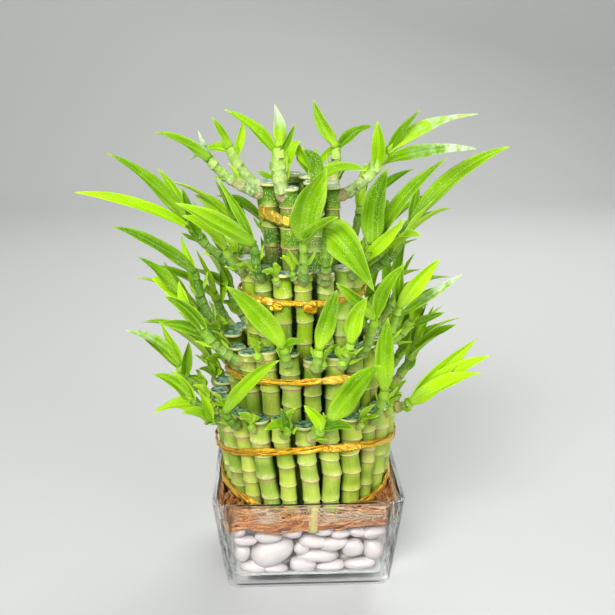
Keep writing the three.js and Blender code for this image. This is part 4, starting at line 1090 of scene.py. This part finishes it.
def around_square(share, half, corner):
    """The places, headings and turns at an array of shares of the way round a square path: straight
    sides joined by quarter circles, from the left end of the front side."""
    straight = 2 * (half - corner)
    arc = corner * np.pi / 2
    along = (share - np.floor(share)) * 4 * (straight + arc)
    side = np.floor(along / (straight + arc))
    rest = along - side * (straight + arc)
    turn = np.where(rest < straight, 0.0, (rest - straight) / corner)
    x = np.where(rest < straight, rest - straight / 2, straight / 2 + corner * np.sin(turn))
    y = np.where(rest < straight, -half, -half + corner * (1 - np.cos(turn)))
    spin = side * np.pi / 2
    place = np.stack([np.cos(spin) * x - np.sin(spin) * y, np.sin(spin) * x + np.cos(spin) * y], -1)
    return place, spin + turn, turn


def add_pebble(skin, place, heading, size, tilt, seed):
    """A smooth pebble: an ellipsoid whose radius waves by a few sines, fuller at one end and slightly
    squared."""
    rise = np.radians(np.linspace(-90, 90, 13)[1:-1])[:, None]
    turn = whole_turn(20)[None, :]
    lump = (1 + 0.06 * np.sin(2 * turn + 6 * draw(seed + 0.1))
            + 0.05 * np.sin(turn + 6 * draw(seed + 0.2)) * np.cos(rise)
            + 0.04 * np.sin(3 * rise + 6 * draw(seed + 0.4)))
    along = np.sign(np.cos(turn)) * np.abs(np.cos(rise) * np.cos(turn)) ** 0.92
    fuller = 1 + between(-0.22, 0.22, seed + 0.7) * along
    rows = stacked(along * lump, np.cos(rise) * np.sin(turn) * lump * fuller,
                   np.sin(rise) * np.ones_like(turn) * fuller) * size

    def put(points):
        """Points tilted, turned and moved into place."""
        c, s = np.cos(tilt), np.sin(tilt)
        x, y = points[..., 0] * c + points[..., 2] * s, points[..., 1]
        z = points[..., 2] * c - points[..., 0] * s
        c, s = np.cos(heading), np.sin(heading)
        return np.stack([c * x - s * y, s * x + c * y, z], -1) + place

    skin.shell(put(rows), put(size * np.array([[0, 0, -1], [0, 0, 1]])), tint=draw(seed + 0.5))


def add_pebbles(skin):
    """The pebbles that show in front, placed by hand, then three layers along the other walls, and
    the same again behind their gaps."""
    for i, (x, z, long, high, tilt, behind) in enumerate(FRONT_PEBBLES):
        deep = min(0.3 * long + 0.5 * high, 7.5)
        half = inner_half(z - 0.6 * high) - deep - 0.5 - behind
        add_pebble(skin, np.array([x, -half, z]), 0.0, np.array([long, deep, high]), np.radians(tilt),
                   FRONT_PEBBLE_SEED + i)
    for behind in (0, 1):
        for layer, level in enumerate(PEBBLE_LAYERS):
            for k in range(PEBBLES_A_LAYER):
                seed = PEBBLE_SEED + 40 * layer + k
                deep = between(4.6, 5.8, seed + 0.3)
                high = between(3.5, 4.3, seed + 0.6)
                z = level + between(-0.25, 0.25, seed + 0.8)
                half = inner_half(z - 0.6 * high) - deep - 0.8 - 8 * behind
                share = k + 0.5 * ((layer + behind) % 2) + between(-0.15, 0.15, seed + 0.9)
                place, heading, turn = around_square(np.float64(share / PEBBLES_A_LAYER), half,
                                                     PEBBLE_CORNER)
                if place[1] < DRAWN_FROM and not behind:
                    continue
                long = between(7.6, 10.4, seed) * (0.7 if turn > 0 else 1)
                tilt = np.radians(between(-12, 12, seed + 0.4))
                size = np.array([long, deep, high])
                add_pebble(skin, np.array([*place, z]), heading, size, tilt, seed)


def add_strand(skin, path, radius, tint, seed, wall):
    """A root: a thin four-sided tube along a path, tapering to both ends as a half sine does."""
    side, normal = square_to(unit(np.gradient(path, axis=0)), np.array([0.3, 0.2, 1.0]))
    turn = whole_turn(4)
    t = np.linspace(0, 1, len(path))
    girth = radius * (0.35 + 0.65 * np.sin(np.pi * np.clip(t, 0.04, 0.96)))
    rows = path[:, None] + girth[:, None, None] * (
        np.cos(turn)[:, None] * side[:, None] + np.sin(turn)[:, None] * normal[:, None])
    skin.shell(rows, (path[0], path[-1]), tint=tint, stalk=0, wall=wall,
               grain=stacked(np.cos(turn), np.sin(turn), 6 * t[:, None] + seed))


def hem_at(share):
    """How far the mat's lower edge rises above its solid's: waves, and two humps where the pebbles in
    the front corners push it up."""
    share = share - np.floor(share)
    waves = 0.7 * (1 + np.sin(82 * share)) + 0.6 * (1 + np.sin(31 * share + 2))
    return waves + 2.2 * swell(share, 0.008, 0.02) + 3.6 * swell(share, 0.214, 0.036)


def add_mat(skin):
    """The mat: a pad under the canes with a post in each corner of the bowl, its walls roughened by
    crossed sines."""
    share = np.linspace(0, 1, 160, endpoint=False)
    place, _, _ = around_square(share, inner_half(ROOT_MIDDLE) - 1.2, ROOT_CORNER)
    corner = np.clip((np.linalg.norm(place, axis=1) - ROOT_RECESS - 0.4) / 2.0, 0, 1)
    top = ROOT_PAD_TOP + (ROOT_POST_TOP - 4 - ROOT_PAD_TOP) * corner * (0.9 + 0.1 * np.sin(90 * share))
    hem = hem_at(share)

    def wall(z, inset):
        """A row round the mat at a height, so far inside the bowl's wall."""
        z = z * np.ones_like(share)
        rough = 1 - 0.008 * (1 + np.sin(128 * share + 1.7 * z) * np.sin(0.9 * z + 23 * share))
        narrow = (inner_half(z) - inset) / inner_half(ROOT_MIDDLE)
        return np.column_stack([place * (rough * narrow)[:, None], z])

    rows = [wall(ROOT_LOW, 14), wall(32.8 + hem, 1.2), wall(33.4 + hem, 0.3)]
    rows += [wall(33.4 + hem + rise * (top - 33.4 - hem), 0.0) for rise in np.linspace(0.06, 0.97, 9)]
    rim = rows[-1][:, :2]
    inner = rim * np.minimum(1 - 0.6 / 46, ROOT_RECESS / np.linalg.norm(rim, axis=1))[:, None]
    rows += [np.column_stack([rim * 0.35 + inner * 0.65, top]),
             np.column_stack([inner, top - 0.4 * corner]),
             np.column_stack([inner * 0.995, np.full(len(share), ROOT_PAD_TOP)]),
             np.column_stack([inner * 0.5, np.full(len(share), ROOT_PAD_TOP)])]
    rows = np.array(rows)
    skin.shell(rows, ([0, 0, ROOT_LOW], [0, 0, ROOT_PAD_TOP]), tint=0.15, grain=rows * 0.5,
               stalk=0, wall=0.6)


def add_stalk(skin):
    """The pale stalk that shows through the front wall: an upright tube with a faint wave."""
    turn = whole_turn(16)
    z = np.linspace(32.4, 47.6, 12)
    middle = np.column_stack([2.0 + 0.05 * (z - 32), -(inner_half(z) - 3.7), z])
    rows = middle[:, None] + (3.2 + 0.12 * np.sin(1.4 * z))[:, None, None] * np.column_stack(
        [np.cos(turn), np.sin(turn), 0 * turn])
    skin.shell(rows, (middle[0], middle[-1]), tint=0.9, grain=rows * 0.5, stalk=0.85, wall=0)


def add_wall_strand(skin, pick, i):
    """A root over the mat's wall: it goes a share of the way round in waves, high or low, and some
    of them steeply. Three in four stay off the pale stalk."""
    t = STRAND_PLACES
    high, steep = i % 2 == 0, i % 5 < 3
    start = pick.uniform(0, 1)
    if i % 4 == 0:
        start = pick.integers(0, 4) / 4 + 0.108 + pick.uniform(-0.06, 0.06)
    length = (pick.uniform(0.003, 0.02) if steep else pick.uniform(0.02, 0.08)) * pick.choice([-1, 1])
    waves = pick.uniform(0.5, 2.4, 2)
    phase = pick.uniform(0, 6.3, 2)
    along = start + length * t + 0.005 * np.sin(waves[0] * 6 * t + phase[0])
    low = pick.uniform(39.5, 47.5) if high else pick.uniform(31.8, 41.0)
    z = low + (2 if steep else 1) * pick.uniform(-5, 5) * t ** pick.uniform(0.6, 1.8)
    z = z + pick.uniform(0.2, 1.1) * np.sin(waves[1] * 6 * t + phase[1])
    z = np.clip(z, 32.9 + hem_at(along) - pick.uniform(0, 0.9), 47.6)
    radius = pick.uniform(0.22, 0.42) if high else pick.uniform(0.28, 0.58)
    side, _, _ = around_square(along, inner_half(ROOT_MIDDLE) - 0.3 - radius, ROOT_CORNER)
    side = side * (inner_half(z) / inner_half(ROOT_MIDDLE) * pick.uniform(0.988, 1.0))[:, None]
    tint = pick.uniform(0.35, 1.0) if high else pick.uniform(0.05, 0.8)
    over_stalk = (side[:, 1] < -30) & (np.abs(side[:, 0] - STALK_X) < 2.2)
    if i % 4 == 0 or not over_stalk.any():
        add_strand(skin, np.column_stack([side, z]), radius, tint, i, 1.0)


def add_corner_strand(skin, pick, i):
    """A root on top of a corner post, between the bowl's wall and the canes."""
    t = STRAND_PLACES
    bearing = pick.integers(0, 4) * np.pi / 2 + np.pi / 4
    bearing = bearing + pick.uniform(-0.26, 0.26) + pick.uniform(-0.3, 0.3) * t
    bearing = bearing + 0.03 * np.sin(pick.uniform(3, 9) * t + i)
    inward = pick.uniform(0.4, 12.5) + pick.uniform(-5, 5) * t
    direction = np.stack([np.cos(bearing), np.sin(bearing)], 1)
    z = pick.uniform(43.4, 46.2) + pick.uniform(-1.6, 0.8) * t + 0.5 * np.sin(pick.uniform(3, 8) * t + i)
    square = 1 / np.abs(direction).max(1)
    outer = np.minimum((inner_half(z) - 0.7) * square, (inner_half(z) - 6) * np.sqrt(2) + 5.3)
    away = np.clip(outer - np.maximum(inward, 0.4), ROOT_RECESS - 1.2, None)
    away = np.minimum(away, outer - 0.4)
    add_strand(skin, np.column_stack([direction * away[:, None], z]), pick.uniform(0.2, 0.42),
               pick.uniform(0.2, 1.0), i + CORNER_STRAND_SEED, 0.15)


def add_roots(skin):
    """The mat, its stalk, and the strands that wander over its walls and on its corners."""
    add_mat(skin)
    add_stalk(skin)
    pick = np.random.default_rng(ROOT_SEED)
    for i in range(WALL_STRANDS):
        add_wall_strand(skin, pick, i)
    for i in range(CORNER_STRANDS):
        add_corner_strand(skin, pick, i)


# Foil ties.

def pulled_path(tier_name, height):
    """The line of a cord pulled tight round a tier: the outline of all its canes, straight between
    one cane and the next, with points at even distances."""
    shapes = [stem_shape(tier_name, k) for k in range(TIERS[tier_name]["count"])]
    middles = np.array([stem_axis(shape, height)[:2] for shape in shapes])
    radii = np.array([stem_radius(shape, height) for shape in shapes])
    turn = np.linspace(-np.pi, np.pi, 4001)
    outward = np.stack([np.cos(turn), np.sin(turn)], 1)
    best = (middles @ outward.T + radii[:, None]).argmax(0)
    outline = middles[best] + outward * (radii[best] + 0.1)[:, None]
    gone = np.concatenate([[0], np.cumsum(np.linalg.norm(np.diff(outline, axis=0), axis=1))])
    even = np.linspace(0, gone[-1], TIE_POINTS, endpoint=False)
    path = np.stack([np.interp(even, gone, outline[:, i]) for i in (0, 1)], 1)
    ahead = unit(np.roll(path, -1, 0) - np.roll(path, 1, 0))
    return path, np.stack([ahead[:, 1], -ahead[:, 0]], 1)


def creased(pick, count, across, reach):
    """Drawn numbers on a strip, each row averaged with its neighbours so that creases run along it."""
    rough = pick.uniform(-1, 1, (count, across))
    smooth = sum(np.roll(rough, step, 0) for step in range(-reach, reach + 1)) / np.sqrt(2 * reach + 1)
    return 0.8 * smooth + 0.25 * rough


def add_tie(skin, spec, seed):
    """Two crumpled ribbons and a thin strand twisted round each other along the pulled line, small
    crumpled knots, and taller stretches where the ribbon has opened out, which may slant and hang."""
    path, outward = pulled_path(spec["tier"], spec["height"])
    angle = np.arctan2(path[:, 1], path[:, 0])
    level = spec["height"] - spec["saddle"] * np.cos(2 * angle) - spec["left"] * np.cos(angle)
    level = level + 0.3 * np.sin(3 * angle + seed)
    tier = TIERS[spec["tier"]]
    flare = (tier["ring"][1] - tier["ring"][0] + 0.5 * (tier["across"][1] - tier["across"][0])) / (
        tier["cut"] - STEM_BASE)
    path = path + outward * (flare * (level - spec["height"]))[:, None]
    tuck = spec.get("tuck", 0) * swell(np.abs(angle), np.pi / 2, 0.7)
    pick = np.random.default_rng(seed)
    u = np.arange(len(path)) / len(path)
    distance = np.linalg.norm(np.roll(path, -1, 0) - path, axis=1).sum() * u
    turn = whole_turn(8)
    for strand, (wide, tall) in enumerate(TIE_STRANDS):
        twist = 2 * np.pi * (strand / 3 + spec["turns"] * u) + 1.2 * np.sin(2 * np.pi * 5 * u + seed)
        away = 0.62 + 0.24 * np.cos(twist) - tuck
        middle = np.column_stack([path + outward * away[:, None], level + spec["reach"] * np.sin(twist)])
        lean = 0.5 * np.sin(1.7 * twist)[:, None]
        crumple = 1 + 0.34 * creased(pick, len(path), 8, 3)
        across = wide * crumple * np.cos(turn) + lean * 0.4 * np.sin(turn)
        up = tall * crumple * np.sin(turn)
        rows = (middle[:, None] + across[..., None] * np.column_stack([outward, 0 * u])[:, None]
                + up[..., None] * UP)
        grain = stacked(0.16 * distance[:, None], 1.3 * np.cos(turn), 1.3 * np.sin(turn) + 2 * strand)
        skin.shell(rows, (), tint=pick.uniform(0.2, 0.8), grain=grain)
    for degrees in spec["knots"]:
        near = np.argmin(np.abs(apart(angle, np.radians(degrees))))
        add_knot(skin, np.array([*(path[near] + outward[near] * 1.5), level[near]]), pick)
    for first, last, tall, drop in spec["flags"]:
        inside = np.where((angle > np.radians(first)) & (angle < np.radians(last)))[0]
        inside = inside[np.argsort(angle[inside])]
        slanting = level[inside] - drop + spec.get("sink", 0) * (0.5 - np.linspace(0, 1, len(inside)))
        add_flag(skin, path[inside], outward[inside], slanting, tall, 1.0 - 0.28 * drop, pick)


def add_knot(skin, middle, pick):
    """A crumpled knot: a ball whose radius jumps from point to point."""
    rise = np.radians(np.linspace(-90, 90, 8)[1:-1])[:, None]
    turn = whole_turn(10)[None, :]
    radius = 1.55 * pick.uniform(0.7, 1.1, (6, 10))
    rows = middle + stacked(radius * np.cos(rise) * np.cos(turn), radius * np.cos(rise) * np.sin(turn),
                            1.15 * radius * np.sin(rise) * np.ones_like(turn))
    skin.shell(rows, (middle - 1.5 * UP, middle + 1.5 * UP), tint=0.7, grain=0.7 * rows)


def add_flag(skin, path, outward, level, tall, tint, pick):
    """An opened stretch of ribbon: a thin strip, pleated along its length, that stands out from the
    strands and narrows to both ends."""
    t = np.linspace(0, 1, len(path))
    reach = 0.5 * tall * (0.25 + 0.75 * np.sin(np.pi * np.clip(0.08 + 0.84 * t, 0, 1)) ** 0.7)
    reach = reach * (1 + 0.12 * creased(pick, len(path), 1, 2)[:, 0])
    across = np.array([-1, -0.6, -0.2, 0.2, 0.6, 1, 0.6, 0.2, -0.2, -0.6])
    face = np.array([0.0, 1, 1, 1, 1, 0, -1, -1, -1, -1])
    pleats = 0.26 * creased(pick, len(path), 5, 3) + 0.2 * np.sin(2.2 * across[:5] + 14 * t[:, None])
    crease = np.column_stack([pleats, 0 * t, pleats[:, :0:-1]])
    away = 1.35 + 0.13 * face + crease
    rows = np.concatenate([path[:, None] + outward[:, None] * away[..., None],
                           (level[:, None] + reach[:, None] * across)[..., None]], 2)
    gone = np.linalg.norm(path[-1] - path[0]) * t[:, None]
    grain = stacked(0.1 * gone, 1.8 * across + 0.22 * gone, face)
    skin.shell(rows, (rows[0].mean(0), rows[-1].mean(0)), tint=tint, grain=grain)


# The tower is put together.

upper = plant_finish("upper_cane", cane_dark=(0.036, 0.165, 0.010), cane_light=(0.385, 0.59, 0.012),
                     wax_dark=(0.090, 0.210, 0.150), wax_light=(0.50, 0.64, 0.50))
lower = plant_finish("lower_cane", cane_dark=(0.115, 0.225, 0.005), cane_light=(0.50, 0.60, 0.075),
                     wax_dark=(0.022, 0.090, 0.052), wax_light=(0.24, 0.45, 0.29))
foil = foil_finish()

bowl_skin, pebble_skin, root_skin = Skin(), Skin(), Skin()
add_bowl(bowl_skin)
bowl = bowl_skin.piece("bowl", glass_finish(), "clear_glass", "glass_bowl")
# Clear glass: no shadow of it falls on the pebbles and roots.
bowl.visible_shadow = False
add_pebbles(pebble_skin)
pebble_skin.piece("pebbles", pebble_finish(), "white_pebble", "white_pebbles")
add_roots(root_skin)
root_skin.piece("roots", root_finish(), "matted_root", "root_mat")

shoots = [(*shoot, FRONT) for shoot in PLACED_SHOOTS]
shoots += [grown_shoot(tier_name, k) for tier_name, numbers in GROWN_SHOOTS.items() for k in numbers]
skins = {}
for tier_name, tier in TIERS.items():
    for k in range(tier["count"]):
        name = node_name(tier_name, k)
        shape = stem_shape(tier_name, k)
        if name in skins:
            add_crown(skins[name], stem_shape(tier_name, k - 1), shape)
        add_cane(skins.setdefault(name, Skin()), shape)
for number, shoot in enumerate(shoots):
    name = node_name(shoot[0], shoot[1])
    grow(skins[name], corners_of(name), shoot, number)
bearing = {(shoot[0], shoot[1]) for shoot in shoots}
for tier_name in ("second", "third", "outer"):
    for k in range(TIERS[tier_name]["count"]):
        shape = stem_shape(tier_name, k)
        if (tier_name, k) not in bearing or draw(shape["seed"] + 0.77) < 0.45:
            add_sprout(skins[node_name(tier_name, k)], shape)
for name, skin in skins.items():
    if name.startswith(("top", "second")):
        skin.piece(f"leafy_{name}", upper, "upper_cane", name)
    else:
        skin.piece(f"leafy_{name}", lower, "lower_cane", name)
for number, (name, spec) in enumerate(TIES.items()):
    tie_skin = Skin()
    add_tie(tie_skin, spec, TIE_SEED + number)
    tie_skin.piece(f"foil_{name}", foil, "gold_foil", name)


# Floor, light and camera.

def sweep():
    """A pale floor that curves up into a wall far behind: a profile carried sideways."""
    turn = np.radians(np.linspace(-90, 0, 12))
    profile = [(-1.6, 0.0), (0.6, 0.0)]
    profile += [(1.1 + 0.5 * np.cos(a), 0.5 + 0.5 * np.sin(a)) for a in turn]
    profile += [(1.6, 3.0)]
    across = np.linspace(-2.5, 2.5, 5)
    points = np.array([[x, y, z - 0.0002] for y, z in profile for x in across])
    row, step = np.meshgrid(np.arange(len(profile) - 1), np.arange(4), indexing="ij")
    a = (row * 5 + step).ravel()
    mesh = bpy.data.meshes.new("floor")
    mesh.from_pydata(points.tolist(), [], np.stack([a, a + 1, a + 6, a + 5], 1).tolist())
    mesh.shade_smooth()
    finish = Finish("floor", Roughness=0.6)
    tone = finish.mix(finish.noise(finish.place(), 3.0), (0.50, 0.512, 0.520), (0.53, 0.54, 0.548))
    mesh.materials.append(finish.link(tone))
    made = bpy.data.objects.new("floor", mesh)
    bpy.context.scene.collection.objects.link(made)


def lamp(name, place, aim, size, power, colour):
    """A square soft light turned towards a point."""
    light = bpy.data.lights.new(name, "AREA")
    light.size = size
    light.energy = power
    light.color = colour
    made = bpy.data.objects.new(name, light)
    made.location = place
    back = np.array(place) - np.array(aim)
    made.rotation_euler = Vector(back).to_track_quat("Z", "Y").to_euler()
    bpy.context.scene.collection.objects.link(made)


def camera():
    """The camera of the photograph: its place, the way it looks, its slight roll and its lens."""
    back = unit(CAMERA_PLACE - CAMERA_AIM)
    right = unit(np.cross(UP, back))
    up = np.cross(back, right)
    right, up = turned(right, up, np.radians(CAMERA_ROLL))
    data = bpy.data.cameras.new("camera")
    data.lens = CAMERA_LENS
    data.sensor_width = 36.0
    data.clip_start = 0.01
    made = bpy.data.objects.new("camera", data)
    matrix = np.eye(4)
    matrix[:3] = np.stack([right, up, back, CAMERA_PLACE], 1)
    made.matrix_world = Matrix(matrix.tolist())
    bpy.context.scene.collection.objects.link(made)
    bpy.context.scene.camera = made


def studio():
    """The lamps, and a pale even light from all round."""
    for values in LAMPS:
        lamp(*values)
    world = bpy.data.worlds.new("studio")
    world.use_nodes = True
    light = world.node_tree.nodes["Background"]
    light.inputs["Color"].default_value = ROUND_LIGHT
    light.inputs["Strength"].default_value = ROUND_STRENGTH
    bpy.context.scene.world = world


sweep()
studio()
bpy.context.scene.view_settings.view_transform = "Standard"
camera()
